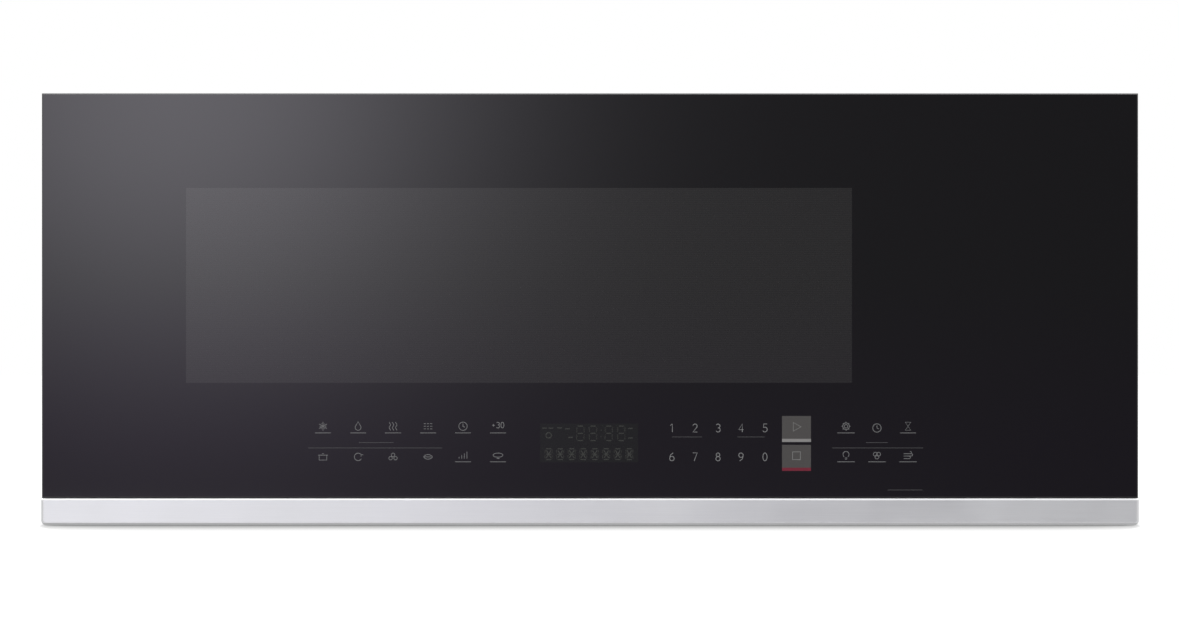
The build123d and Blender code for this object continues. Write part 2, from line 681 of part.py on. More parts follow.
def lamp_opening(centre):
    """The room for a lamp cover in the base plate, as spans along X and Y."""
    x = grown(about(centre, LAMP_WIDTH), LAMP_SIDE_GAP)
    y = (LAMP_Y[0] - LAMP_SIDE_GAP, LAMP_Y[1] + LAMP_SWING)
    return x, y


def base_plate():
    """The underside: filter and lamp openings, ears for the lamp covers and air slots."""
    plate = block((-INNER_HALF, INNER_HALF), (INNER_FRONT, INNER_BACK), (0, SHEET))
    through = (-SHEET, 2 * SHEET)
    for centre in FILTER_CENTRES:
        x, y = filter_opening(centre)
        plate -= block(x, y, through)
        # an upright rim on the three sides that the filter doesn't tip over
        rim_y = (y[0] - SHEET, y[1] - 2 * FILTER_HEM)
        rim = block(grown(x, SHEET), rim_y, (SHEET, FILTER_THICKNESS))
        plate += rim - block(x, (y[0], y[1]), (0, FILTER_THICKNESS + SHEET))
        # a rolled hem on the fourth side, which the filter's tabs rest and tip on
        plate += rod_x(x, FILTER_AXIS[0], FILTER_AXIS[1], FILTER_HEM)
    for centre in LAMP_CENTRES:
        x, y = lamp_opening(centre)
        plate -= block(x, y, through)
        for side in (0, 1):
            outside = x[side] + (2 * side - 1) * LAMP_EAR
            ear_x = sorted((x[side], outside))
            ear_y = about(LAMP_Y[1], 4 * LAMP_KNUCKLE)
            ear = block(ear_x, ear_y, (SHEET, LAMP_AXIS_HEIGHT + 2 * LAMP_KNUCKLE))
            ear -= sided_x(grown(ear_x, 1), LAMP_Y[1], LAMP_AXIS_HEIGHT, LAMP_PIN + RUN_GAP,
                           FEW_SIDES, bore=True)
            plate += ear
    first = middle(BAY_X) - (INTAKE_SLOTS - 1) * INTAKE_PITCH / 2
    slot_y = (CASE_FRONT + INTAKE_FROM_FRONT, CASE_FRONT + INTAKE_FROM_FRONT + INTAKE_LENGTH)
    for index in range(INTAKE_SLOTS):
        plate -= block(about(first + index * INTAKE_PITCH, INTAKE_SLOT), slot_y, through)
    return plate


def casing_screws():
    """The screws in the casing's sides."""
    return all_of(sheet_screw(place, SCREW_LENGTH) for place in side_screw_places())


# ---------------------------------------------------------------------------------------
# Door hinge
# ---------------------------------------------------------------------------------------

def lower_tab_z():
    """The lower hinge tab's underside and top."""
    low = FRAME_Z[0] + TAB_FROM_FRAME
    return (low, low + TAB_THICKNESS)


def upper_tab_z():
    """The upper hinge tab's underside and top."""
    high = FRAME_Z[1] - TAB_FROM_FRAME - TAB_THICKNESS
    return (high, high + TAB_THICKNESS)


def tab_x():
    """The hinge tab's sides where it passes through the front plate."""
    return (max(HINGE_X - TAB_HALF_WIDTH, -INNER_HALF + 2 * MOVE_GAP), HINGE_X + TAB_HALF_WIDTH)


def tab_passage(z):
    """The slot that a hinge tab passes through in the front plate and the side's flange."""
    return block(grown(tab_x(), MOVE_GAP), (CASE_FRONT - SHEET, INNER_FRONT + 2 * SHEET),
                 grown(z, MOVE_GAP))


def hinge_bracket(z, upward):
    """A hinge bracket behind the front plate, with its tab and the pin riveted to it."""
    x = tab_x()
    flange_y = (INNER_FRONT + SHEET, INNER_FRONT + SHEET + TAB_THICKNESS)
    tab = block(x, (HINGE_Y - TAB_HALF_WIDTH, flange_y[1]), z)
    tab = chamfer(tab.edges().filter_by(Axis.Z).group_by(Axis.Y)[0], TAB_HALF_WIDTH / 2)
    flange_z = (z[0], z[0] + BRACKET_HEIGHT) if upward else (z[1] - BRACKET_HEIGHT, z[1])
    bracket = tab + block((x[0], x[0] + BRACKET_WIDTH), flange_y, flange_z)
    pin_z = (z[1], z[1] + PIN_LENGTH) if upward else (z[0] - PIN_LENGTH, z[0])
    return bracket + rod_z(HINGE_X, HINGE_Y, pin_z, PIN_RADIUS)


def hinge_bushes():
    """Two flanged bushes in the door frame, which turn on the bracket pins."""
    bushes = []
    for z, upward in ((lower_tab_z(), True), (upper_tab_z(), False)):
        way = 1 if upward else -1
        start = (z[1] if upward else z[0]) + way * MOVE_GAP
        flange = sorted((start, start + way * BUSH_FLANGE))
        barrel = sorted((start, start + way * (BUSH_FLANGE + BUSH_LENGTH)))
        bush = sided_z(HINGE_X, HINGE_Y, flange, BOSS_HALF_WIDTH, MANY_SIDES)
        # the barrel's six flats keep the bush from turning in the frame
        bush += sided_z(HINGE_X, HINGE_Y, barrel, BUSH_RADIUS, 6, bore=True)
        bore = sided_z(HINGE_X, HINGE_Y, grown(barrel, 1), PIN_RADIUS + RUN_GAP, MANY_SIDES, bore=True)
        bushes.append(bush - bore)
    return all_of(bushes)


# ---------------------------------------------------------------------------------------
# Door
# ---------------------------------------------------------------------------------------

def door_glass():
    """The one pane that covers the whole front above the trim."""
    pane = block((-GLASS_HALF, GLASS_HALF), (GLASS_FRONT, GLASS_BACK), (TRIM_HEIGHT, GLASS_TOP))
    return chamfer(pane.faces().sort_by(Axis.Y)[0].edges(), GLASS_EDGE)


def door_trim():
    """The stainless strip under the glass, bent into a ledge above and a finger lip below."""
    half = GLASS_HALF + TRIM_SIDE_PROUD
    front = GLASS_FRONT - TRIM_PROUD
    back = GLASS_FRONT + TRIM_LEDGE
    bar = block((-half, half), (front, back), (0, TRIM_HEIGHT))
    ends = bar.edges().filter_by(Axis.Y).group_by(Axis.Z)[0]
    bar = fillet(ends, TRIM_CORNER_RADIUS)
    face = bar.faces().sort_by(Axis.Y)[0]
    bar = fillet(face.edges(), TRIM_EDGE_RADIUS)
    bar -= block(grown((-half, half), -TRIM_SHEET), (front + TRIM_SHEET, back + 1),
                 (TRIM_SHEET, TRIM_HEIGHT - TRIM_SHEET))
    # the lip and the ends are shorter than the ledge, so that fingers reach behind the lip
    return bar - block(grown((-half, half), 1), (GLASS_FRONT + TRIM_LIP, back + 1),
                       (-1, TRIM_HEIGHT - TRIM_SHEET))


def notch(z, end):
    """The room in the door frame in which a hinge tab stays while the door swings."""
    return block((FRAME_X[0] - 1, HINGE_X + NOTCH_RIGHT), (HINGE_Y - NOTCH_FRONT, DOOR_BACK + 1),
                 sorted((z, end)))


def door_frame():
    """The moulded frame that carries the glass, the choke plate, the latch and the bushes."""
    y = (GLASS_BACK, DOOR_BACK)
    frame = block(FRAME_X, y, FRAME_Z)
    frame -= block(grown(FRAME_X, -FRAME_WALL), (GLASS_BACK - 1, WEB_Y[0]),
                   grown(FRAME_Z, -FRAME_WALL))
    # the well for the choke plate, with a ledge under its channel
    well_x = grown(CHOKE_X, SEAT_GAP)
    well_z = grown(CHOKE_Z, SEAT_GAP)
    well_y = (CHOKE_Y[0] - FRAME_WALL, DOOR_BACK)
    frame += block(grown(well_x, FRAME_WALL), well_y, (FRAME_Z[0], well_z[1] + FRAME_WALL))
    frame -= block(grown(well_x, -WELL_LEDGE), grown(well_y, 1), grown(well_z, -WELL_LEDGE))
    frame -= block(well_x, (CHOKE_Y[0], DOOR_BACK + 1), well_z)
    # ribs stiffen the hollow above the well and the end that holds the latch
    rib_y = (WEB_Y[0] - FRAME_RIB_DEPTH, WEB_Y[0])
    above = (well_z[1] + FRAME_WALL, FRAME_Z[1] - FRAME_WALL)
    for index in range(1, 7):
        x = CHOKE_X[0] + index * (CHOKE_X[1] - CHOKE_X[0]) / 7
        frame += block(about(x, FRAME_RIB), rib_y, above)
    span = (well_x[1] + FRAME_WALL, LATCH_X - LEVER_WIDTH)
    rib_heights = (HOOK_HEIGHTS[0] - 2 * HOOK_HEIGHT, middle(HOOK_HEIGHTS),
                   HOOK_HEIGHTS[1] + 3 * HOOK_HEIGHT)
    for z in rib_heights:
        frame += block(span, rib_y, about(z, FRAME_RIB))
    # guides beside the latch lever, and pads behind it
    for hook in HOOK_HEIGHTS:
        z = (hook + HOOK_HEIGHT + LATCH_LIFT + 2, hook + HOOK_HEIGHT + LATCH_LIFT + 12)
        for side in (-1, 1):
            near = LATCH_X + side * (LEVER_WIDTH / 2 + MOVE_GAP)
            guide = sorted((near, near + side * FRAME_WALL))
            frame += block(guide, (LEVER_Y[0], WEB_Y[0]), z)
        pad = about(LATCH_X, LEVER_WIDTH + 2 * MOVE_GAP + 2 * FRAME_WALL)
        frame += block(pad, (LEVER_Y[1] + MOVE_GAP, WEB_Y[0]), z)
        frame -= hook_passage(hook, (WEB_Y[0] - 1, DOOR_BACK + 1))
    # a seat for the leaf spring above the lever
    seat_z = spring_seat_z()
    frame += block(about(LATCH_X, 2 * LEVER_WIDTH), (LEVER_Y[0], WEB_Y[0]),
                   (seat_z, seat_z + FRAME_WALL))
    # bosses for the bushes, and the notches that the hinge tabs stay in
    for z, upward in ((lower_tab_z(), True), (upper_tab_z(), False)):
        way = 1 if upward else -1
        face = (z[1] if upward else z[0]) + way * (MOVE_GAP + BUSH_FLANGE)
        end = FRAME_Z[0] - 1 if upward else FRAME_Z[1] + 1
        reach = sorted((face, face + way * BUSH_LENGTH + way * FRAME_WALL))
        boss_x = (FRAME_X[0], HINGE_X + BOSS_HALF_WIDTH)
        frame += block(boss_x, (HINGE_Y - BOSS_HALF_WIDTH, WEB_Y[0]), reach)
        roof = sorted((face, face + way * FRAME_WALL))
        frame += block((FRAME_X[0], HINGE_X + NOTCH_RIGHT + FRAME_WALL),
                       (HINGE_Y - NOTCH_FRONT - FRAME_WALL, WEB_Y[0]), roof)
        frame -= notch(face, end)
        frame -= sided_z(HINGE_X, HINGE_Y, sorted((face - way, face + way * BUSH_LENGTH)),
                         BUSH_RADIUS + SEAT_GAP, 6, bore=True)
    return frame


def comb_slots():
    """The slots that part the choke plate's lips into a comb of fingers."""
    y = (CHOKE_Y[1] - CHOKE_SHEET - 1, CHOKE_Y[1] + 1)
    cuts = []
    for span, other in ((CHOKE_X, CHOKE_Z), (CHOKE_Z, CHOKE_X)):
        count = int((span[1] - span[0] - 2 * CHOKE_LIP) / CHOKE_PITCH)
        first = middle(span) - (count - 1) * CHOKE_PITCH / 2
        for index in range(count):
            slot = about(first + index * CHOKE_PITCH, CHOKE_SLOT)
            for edge, way in ((other[0], 1), (other[1], -1)):
                lip = sorted((edge + way * CHOKE_SHEET, edge + way * (CHOKE_LIP + 1)))
                if span is CHOKE_X:
                    cuts.append(block(slot, y, lip))
                else:
                    cuts.append(block(lip, y, slot))
    return cuts


def choke_plate():
    """The steel plate behind the glass: the screen, the channel around it and its comb."""
    floor_y = (CHOKE_Y[0], CHOKE_Y[0] + CHOKE_SHEET)
    screen_y = (CHOKE_Y[1] - SCREEN_STEP, CHOKE_Y[1] - SCREEN_STEP + CHOKE_SHEET)
    plate = block(CHOKE_X, floor_y, CHOKE_Z) - block(SCREEN_X, grown(floor_y, 1), SCREEN_Z)
    plate += ring(CHOKE_X, CHOKE_Y, CHOKE_Z, CHOKE_SHEET)
    plate += ring(SCREEN_X, (CHOKE_Y[0], screen_y[1]), SCREEN_Z, CHOKE_SHEET)
    plate += block(SCREEN_X, screen_y, SCREEN_Z)
    lips = ring(CHOKE_X, (CHOKE_Y[1] - CHOKE_SHEET, CHOKE_Y[1]), CHOKE_Z, CHOKE_LIP)
    return plate + (lips - comb_slots())


def inner_window():
    """The clear pane on the cavity's side of the screen."""
    front = CHOKE_Y[1] - SCREEN_STEP + CHOKE_SHEET
    return block(grown(SCREEN_X, -PANE_MARGIN), (front, front + PANE_THICKNESS),
                 grown(SCREEN_Z, -PANE_MARGIN))


def choke_cover():
    """The plastic frame that covers the choke channel and laps the inner pane."""
    y = (CHOKE_Y[1], CHOKE_Y[1] + COVER_THICKNESS)
    cover = block(CHOKE_X, y, CHOKE_Z)
    hole = block(grown(SCREEN_X, -PANE_MARGIN - COVER_LAP), grown(y, 1),
                 grown(SCREEN_Z, -PANE_MARGIN - COVER_LAP))
    cover -= chamfer(hole.edges().filter_by(Axis.Y), MOUTH_CORNER)
    edge = cover.faces().sort_by(Axis.Y)[-1].inner_wires()[0].edges()
    cover = chamfer(edge, COVER_THICKNESS / 2)
    # feet reach from the cover to the pane, and hold it against the screen
    pane_back = y[0] - SCREEN_STEP + CHOKE_SHEET + PANE_THICKNESS
    for x in grown(SCREEN_X, -PANE_MARGIN - COVER_LAP / 2):
        cover += block(about(x, COVER_LAP / 2), (pane_back, y[0]), grown(SCREEN_Z, -4 * COVER_LAP))
    return cover


def touch_board():
    """The board with the touch keys, bonded to the back of the glass."""
    y = (GLASS_BACK, GLASS_BACK + BOARD_THICKNESS)
    board = block((TOUCH_LEFT, TOUCH_RIGHT), y, (TOUCH_BOTTOM, TOUCH_TOP))
    window = block(about(DISPLAY_X, DISPLAY_WIDTH), grown(y, 1), about(DISPLAY_Z, DISPLAY_HEIGHT))
    board -= window
    plug_x = (TOUCH_LEFT + DISPLAY_DEPTH, TOUCH_LEFT + 5 * DISPLAY_DEPTH)
    return board + block(plug_x, (y[1], y[1] + DISPLAY_DEPTH / 2), about(DISPLAY_Z, DISPLAY_DEPTH))


def display_module():
    """The segment display behind the glass, set into the touch board."""
    width = DISPLAY_WIDTH - 2 * SEAT_GAP
    height = DISPLAY_HEIGHT - 2 * SEAT_GAP
    body = block(about(DISPLAY_X, width), (GLASS_BACK, GLASS_BACK + DISPLAY_DEPTH),
                 about(DISPLAY_Z, height))
    return body


def door_screws():
    """The screws that hold the trim's ledge to the door frame from below."""
    y = GLASS_FRONT + TRIM_LEDGE - SCREW_HEAD_RADIUS - TRIM_SHEET
    places = [Pos(index * GLASS_HALF / 2, y, TRIM_HEIGHT - TRIM_SHEET) * Rot(180, 0, 0)
              for index in (-1, 0, 1)]
    return places


# ---------------------------------------------------------------------------------------
# Latch and interlocks
# ---------------------------------------------------------------------------------------

def hook_passage(z, y):
    """The slot that a hook passes through, with room for its lift."""
    return block(grown(about(LATCH_X, LEVER_WIDTH), HOOK_SIDE_ROOM), y,
                 (z - HOOK_NOSE - MOVE_GAP, z + HOOK_HEIGHT + LATCH_LIFT + MOVE_GAP))


def spring_seat_z():
    """The underside of the frame's seat above the latch lever."""
    return HOOK_HEIGHTS[1] + HOOK_HEIGHT + LEVER_END + 3 * LATCH_LIFT


def latch_lever():
    """The upright lever in the door, with a hook near each end."""
    x = about(LATCH_X, LEVER_WIDTH)
    z = (HOOK_HEIGHTS[0] - LEVER_END, HOOK_HEIGHTS[1] + HOOK_HEIGHT + LEVER_END)
    lever = block(x, LEVER_Y, z)
    for hook in HOOK_HEIGHTS:
        nose = HOOK_TIP - HOOK_NOSE_LENGTH
        # the nose slopes, so that closing the door lifts the hook over the ledge
        profile = Polygon((LEVER_Y[1], hook), (nose, hook), (nose, hook - HOOK_NOSE),
                          (nose + 1.5, hook - HOOK_NOSE), (HOOK_TIP, hook),
                          (HOOK_TIP, hook + HOOK_HEIGHT), (LEVER_Y[1], hook + HOOK_HEIGHT),
                          align=None)
        lever += along_x(profile, x)
    ends = lever.edges().filter_by(Axis.X).group_by(Axis.Y)[0]
    return chamfer(ends, FRAME_WALL)


def latch_spring():
    """The bent leaf that presses the lever down from the frame's seat."""
    high = spring_seat_z()
    low = HOOK_HEIGHTS[1] + HOOK_HEIGHT + LEVER_END + MOVE_GAP
    y0 = LEVER_Y[0] + SPRING_INSET
    y1 = LEVER_Y[1] - SPRING_INSET
    path = Polyline((y0, high - SPRING_STRIP), (y1, high - SPRING_STRIP), (y0, (high + low) / 2),
                    (y1, low + SPRING_STRIP), (y0, low + SPRING_STRIP))
    strip = make_face(offset(path, amount=SPRING_STRIP, side=Side.LEFT, kind=Kind.INTERSECTION))
    return along_x(strip, about(LATCH_X, SPRING_WIDTH))


def latch_board():
    """The board behind the front plate that catches the hooks and carries the switches."""
    x = about(LATCH_X, LATCH_BOARD_WIDTH)
    z = (HOOK_HEIGHTS[0] - LATCH_BOARD_WIDTH / 2, HOOK_HEIGHTS[1] + LATCH_BOARD_WIDTH)
    plate_y = (INNER_FRONT, INNER_FRONT + 2 * LATCH_BOARD_WALL)
    board = block(x, plate_y, z)
    rail_x = (LATCH_X + SWITCH_WIDTH / 2, LATCH_X + SWITCH_WIDTH / 2 + LATCH_BOARD_WALL)
    board += block(rail_x, (plate_y[1], HOOK_TIP + SWITCH_DEPTH), z)
    for hook in HOOK_HEIGHTS:
        board -= hook_passage(hook, grown(plate_y, 1))
    return board


def switch_place(hook):
    """Where a switch sits behind a hook: its spans along X, Y and Z."""
    front = HOOK_TIP + MOVE_GAP + PLUNGER_LENGTH / 2
    return (about(LATCH_X, SWITCH_WIDTH), (front, front + SWITCH_DEPTH),
            about(hook + HOOK_HEIGHT / 2, SWITCH_HEIGHT))


def interlock_switches():
    """The two switches that the hooks work, beside the latch board's rail."""
    switches = []
    for hook in HOOK_HEIGHTS:
        x, y, z = switch_place(hook)
        body = block(x, y, z)
        room = PLUNGER_WIDTH + 2 * MOVE_GAP
        depth = (y[0] - 1, y[0] + PLUNGER_LENGTH / 2 + PLUNGER_TRAVEL + MOVE_GAP)
        body -= block(about(middle(x), room), depth, about(middle(z), room))
        for offset_z in (-SWITCH_HEIGHT / 4, SWITCH_HEIGHT / 4):
            terminal_z = about(middle(z) + offset_z, SHEET)
            body += block(about(middle(x), PLUNGER_WIDTH), (y[1], y[1] + PLUNGER_LENGTH), terminal_z)
        switches.append(body)
    return all_of(switches)


def switch_plungers():
    """The plungers of the two switches, which the hooks' tips push in together."""
    plungers = []
    for hook in HOOK_HEIGHTS:
        x, y, z = switch_place(hook)
        front = HOOK_TIP + MOVE_GAP
        body = block(about(middle(x), PLUNGER_WIDTH), (front, front + PLUNGER_LENGTH),
                     about(middle(z), PLUNGER_WIDTH))
        plungers.append(chamfer(body.faces().sort_by(Axis.Y)[0].edges(), PLUNGER_WIDTH / 5))
    return all_of(plungers)


# ---------------------------------------------------------------------------------------
# Cavity
# ---------------------------------------------------------------------------------------

def cavity_floor():
    """The cavity's floor, with the shaft's hole and a groove pressed around the track."""
    x = grown(CAVITY_X, SHEET)
    y = (CAVITY_Y[0], CAVITY_Y[1] + SHEET)
    floor = block(x, y, (CAVITY_Z[0] - SHEET, CAVITY_Z[0]))
    inner = ROLLER_TRACK + GROOVE_FROM_TRACK - GROOVE_WIDTH / 2
    outer = inner + GROOVE_WIDTH
    groove = (CAVITY_Z[0] - GROOVE_DEPTH, CAVITY_Z[0])
    floor -= (sided_z(TURN_X, TURN_Y, groove, outer, FINE_SIDES)
              - sided_z(TURN_X, TURN_Y, groove, inner, FINE_SIDES))
    hole = (CAVITY_Z[0] - SHEET, CAVITY_Z[0])
    return floor - sided_z(TURN_X, TURN_Y, hole, SHAFT_RADIUS + 1, MANY_SIDES)


def cavity_ceiling():
    """The cavity's ceiling."""
    return block(grown(CAVITY_X, SHEET), (CAVITY_Y[0], CAVITY_Y[1] + SHEET),
                 (CAVITY_Z[1], CAVITY_Z[1] + SHEET))


def cavity_lamp_opening():
    """The opening for the cavity's lamp, as spans along Y and Z."""
    return (about(TURN_Y, CAVITY_LAMP_WIDTH),
            about(CAVITY_Z[1] - CAVITY_LAMP_DROP, CAVITY_LAMP_HEIGHT))


def cavity_left_wall():
    """The cavity's left wall, with the opening for its lamp."""
    x = (CAVITY_X[0] - SHEET, CAVITY_X[0])
    return block(x, CAVITY_Y, CAVITY_Z) - block(grown(x, 1), *cavity_lamp_opening())


def cavity_right_wall():
    """The cavity's right wall, with the opening for the microwaves."""
    x = (CAVITY_X[1], CAVITY_X[1] + SHEET)
    wall = block(x, CAVITY_Y, CAVITY_Z)
    return wall - block(grown(x, 1), FEED_Y, about(WAVEGUIDE_Z_MIDDLE, FEED_HEIGHT))


def cavity_rear_wall():
    """The cavity's rear wall."""
    return block(grown(CAVITY_X, SHEET), (CAVITY_Y[1], CAVITY_Y[1] + SHEET), CAVITY_Z)


def cavity_lamp():
    """The lamp behind the opening in the left wall: a board, its light and a clear window."""
    y, z = cavity_lamp_opening()
    outside = CAVITY_X[0] - SHEET
    rear = outside - CAVITY_LAMP_DEPTH
    window = block((outside, CAVITY_X[0]), grown(y, -SEAT_GAP), grown(z, -SEAT_GAP))
    housing = block((rear, outside), grown(y, CAVITY_LAMP_LAP), grown(z, CAVITY_LAMP_LAP))
    housing -= block((rear + FRAME_WALL, outside + 1), y, z)
    light = block((rear + FRAME_WALL, rear + CAVITY_LAMP_DEPTH / 2),
                  about(middle(y), CAVITY_LAMP_WIDTH / 3), about(middle(z), CAVITY_LAMP_HEIGHT / 2))
    return all_of([window, housing, light])


def waveguide_cover():
    """The mica sheet over the microwave feed, inside the cavity."""
    y = grown(FEED_Y, FEED_MARGIN)
    z = grown(about(WAVEGUIDE_Z_MIDDLE, FEED_HEIGHT), FEED_MARGIN)
    sheet = block((CAVITY_X[1] - MICA, CAVITY_X[1]), y, z)
    return chamfer(sheet.edges().filter_by(Axis.X), FEED_MARGIN / 2)


# ---------------------------------------------------------------------------------------
# Turntable
# ---------------------------------------------------------------------------------------

def roller_height():
    """The height of the rollers' axes."""
    return CAVITY_Z[0] + MOVE_GAP + ROLLER_RADIUS


def tray_bottom():
    """The height of the tray's underside, just clear of the rollers."""
    return roller_height() + ROLLER_RADIUS + MOVE_GAP


def turntable_motor():
    """The flat motor under the cavity's floor, with its two fixing ears."""
    z = (CAVITY_Z[0] - SHEET - MOTOR_HEIGHT, CAVITY_Z[0] - SHEET)
    body = sided_z(TURN_X, TURN_Y, z, MOTOR_RADIUS, MANY_SIDES)
    body += block(about(TURN_X, 2 * (MOTOR_RADIUS + MOTOR_EAR_REACH)),
                  about(TURN_Y, MOTOR_EAR_WIDTH), (z[1] - SHEET, z[1]))
    body += block(about(TURN_X, MOTOR_EAR_WIDTH),
                  (TURN_Y - MOTOR_RADIUS - MOTOR_PLUG_REACH, TURN_Y), grown(z, -MOTOR_HEIGHT / 5))
    hole = (z[1] - SHAFT_DEPTH - MOVE_GAP, z[1])
    return body - sided_z(TURN_X, TURN_Y, hole, SHAFT_RADIUS + RUN_GAP, FEW_SIDES, bore=True)


def drive_coupler():
    """The motor's shaft and the three-armed coupler on it, which drives the tray's lugs."""
    shaft_z = (CAVITY_Z[0] - SHEET - SHAFT_DEPTH, CAVITY_Z[0] + ROLLER_RADIUS)
    hub_z = (CAVITY_Z[0] + SHEET, tray_bottom() - MOVE_GAP)
    profile = Circle(COUPLER_HUB)
    for index in range(COUPLER_LOBES):
        arm = Pos(COUPLER_RADIUS / 2, 0) * Rectangle(COUPLER_RADIUS, LOBE_WIDTH)
        profile += Rot(0, 0, index * 360 / COUPLER_LOBES) * arm
    hub = Pos(TURN_X, TURN_Y, hub_z[0]) * extrude(profile, hub_z[1] - hub_z[0])
    return hub + rod_z(TURN_X, TURN_Y, shaft_z, SHAFT_RADIUS)


def dish(low, low_radius, high, high_radius):
    """A many-sided body that widens from one height to another."""
    ends = [Pos(0, 0, low) * RegularPolygon(low_radius, FINE_SIDES),
            Pos(0, 0, high) * RegularPolygon(high_radius, FINE_SIDES)]
    return loft(ends, ruled=True)


def glass_tray():
    """The glass turntable: a dished plate with a raised rim and lugs under its centre."""
    low = tray_bottom()
    top = low + TRAY_THICKNESS
    rim = top + TRAY_RIM
    flat = TRAY_RADIUS - TRAY_RIM - TRAY_WALL
    plate = dish(low, flat + TRAY_WALL / 2, rim, TRAY_RADIUS)
    plate -= dish(top, flat, rim, TRAY_RADIUS - TRAY_WALL)
    lug_z = (low - LUG_RADIUS, low)
    for index in range(COUPLER_LOBES):
        angle = radians((index + 0.5) * 360 / COUPLER_LOBES)
        plate += sided_z(LUG_CIRCLE * cos(angle), LUG_CIRCLE * sin(angle), lug_z, LUG_RADIUS,
                         FEW_SIDES)
    return Pos(TURN_X, TURN_Y, 0) * plate


def roller_angles():
    """The directions of the roller axles around the turntable."""
    return [90 + index * 360 / ROLLERS for index in range(ROLLERS)]


def roller_ring():
    """The ring under the tray, with an outward stub axle for each roller."""
    thickness = about(0, RING_THICKNESS)
    body = sided_z(0, 0, thickness, RING_OUTER, FINE_SIDES)
    body -= sided_z(0, 0, thickness, RING_INNER, FINE_SIDES)
    inner = ROLLER_TRACK - ROLLER_WIDTH / 2 - MOVE_GAP
    outer = ROLLER_TRACK + ROLLER_WIDTH / 2 + MOVE_GAP
    for angle in roller_angles():
        axle = block((RING_OUTER - RING_THICKNESS, inner), about(0, 2 * AXLE_HEAD), thickness)
        axle += rod_x((inner, outer), 0, 0, AXLE_RADIUS)
        axle += sided_x((outer, outer + AXLE_HEAD_LENGTH), 0, 0, AXLE_HEAD, FEW_SIDES)
        body += Rot(0, 0, angle) * axle
    return Pos(TURN_X, TURN_Y, roller_height()) * body


def roller(angle):
    """One plastic roller on its stub axle."""
    width = about(ROLLER_TRACK, ROLLER_WIDTH)
    wheel = sided_x(width, 0, 0, ROLLER_RADIUS, MANY_SIDES)
    wheel -= sided_x(width, 0, 0, AXLE_RADIUS + RUN_GAP, FEW_SIDES, bore=True)
    return Pos(TURN_X, TURN_Y, roller_height()) * Rot(0, 0, angle) * wheel


# ---------------------------------------------------------------------------------------
# Grease filters and cooktop lamps
# ---------------------------------------------------------------------------------------

def grease_filter(centre):
    """A grease filter: an aluminium frame, its mesh pad, two rear tabs and a finger pull."""
    x = about(centre, FILTER_WIDTH)
    inside = (grown(x, -FILTER_FRAME), grown(FILTER_Y, -FILTER_FRAME))
    frame = block(x, FILTER_Y, (0, FILTER_THICKNESS))
    frame = chamfer(frame.edges().filter_by(Axis.Z), FILTER_CORNER)
    frame -= block(*inside, (-1, FILTER_THICKNESS + 1))
    tab_low = 2 * FILTER_HEM + MOVE_GAP
    tab_end = FILTER_AXIS[0] + FILTER_TAB
    for side in (-1, 1):
        frame += block(about(centre + side * FILTER_WIDTH / 3, FILTER_TAB_WIDTH),
                       (FILTER_Y[1] - 1, tab_end), (tab_low, tab_low + FILTER_TAB_THICKNESS))
    pull_y = (inside[1][0], inside[1][0] + FILTER_PULL_LENGTH)
    pull = block(about(centre, FILTER_PULL_WIDTH), pull_y, (0, SHEET))
    frame += chamfer(pull.edges().filter_by(Axis.Z).group_by(Axis.Y)[-1], FILTER_FRAME)
    return all_of([frame, block(*inside, (SHEET, SHEET + FILTER_MESH))])


def lamp_cover(centre):
    """A cooktop lamp's cover, which hinges down on two pins at its rear edge."""
    x = about(centre, LAMP_WIDTH)
    panel = block(x, LAMP_Y, (0, LAMP_COVER))
    panel = fillet(panel.edges().filter_by(Axis.Z).group_by(Axis.Y)[0], LAMP_COVER_CORNER)
    panel += rod_x(x, LAMP_Y[1], LAMP_AXIS_HEIGHT, LAMP_KNUCKLE)
    reach = LAMP_SIDE_GAP + LAMP_EAR + LAMP_SIDE_GAP
    panel += sided_x(grown(x, reach), LAMP_Y[1], LAMP_AXIS_HEIGHT, LAMP_PIN, FEW_SIDES)
    # a shallow tray behind the clear face leaves it thin under the light
    return panel - block(grown(x, -LAMP_COVER_RIM), grown(LAMP_Y, -LAMP_COVER_RIM),
                         (LAMP_COVER / 2, LAMP_COVER + 1))


def cooktop_lamps():
    """The two lamps over the covers: a bridge of sheet on the base plate, and the light."""
    lamps = []
    for centre in LAMP_CENTRES:
        x = about(centre, LAMP_BRIDGE_WIDTH)
        opening = lamp_opening(centre)[1]
        span = grown(opening, SHEET)
        height = (SHEET, SHEET + LAMP_BRIDGE_HEIGHT)
        bridge = block(x, grown(span, SHEET), height)
        bridge += block(x, grown(span, FLANGE / 2), (SHEET, 2 * SHEET))
        bridge -= block(x, span, (0, height[1] - SHEET))
        board = (height[1] - SHEET - LAMP_BOARD_HEIGHT, height[1] - SHEET)
        lamps += [bridge, block(about(centre, LAMP_BOARD), about(middle(LAMP_Y), LAMP_BOARD), board)]
    return all_of(lamps)


# ---------------------------------------------------------------------------------------
# Ventilation blower
# ---------------------------------------------------------------------------------------

def blower_section(radius):
    """The blower housing's outline across its axis: round below, straight up to the top."""
    round_end = Pos(BLOWER_Y, BLOWER_AXIS_HEIGHT) * RegularPolygon(radius, MANY_SIDES)
    throat = Rectangle(2 * radius, INNER_TOP - BLOWER_AXIS_HEIGHT)
    return round_end + Pos(BLOWER_Y, (BLOWER_AXIS_HEIGHT + INNER_TOP) / 2) * throat


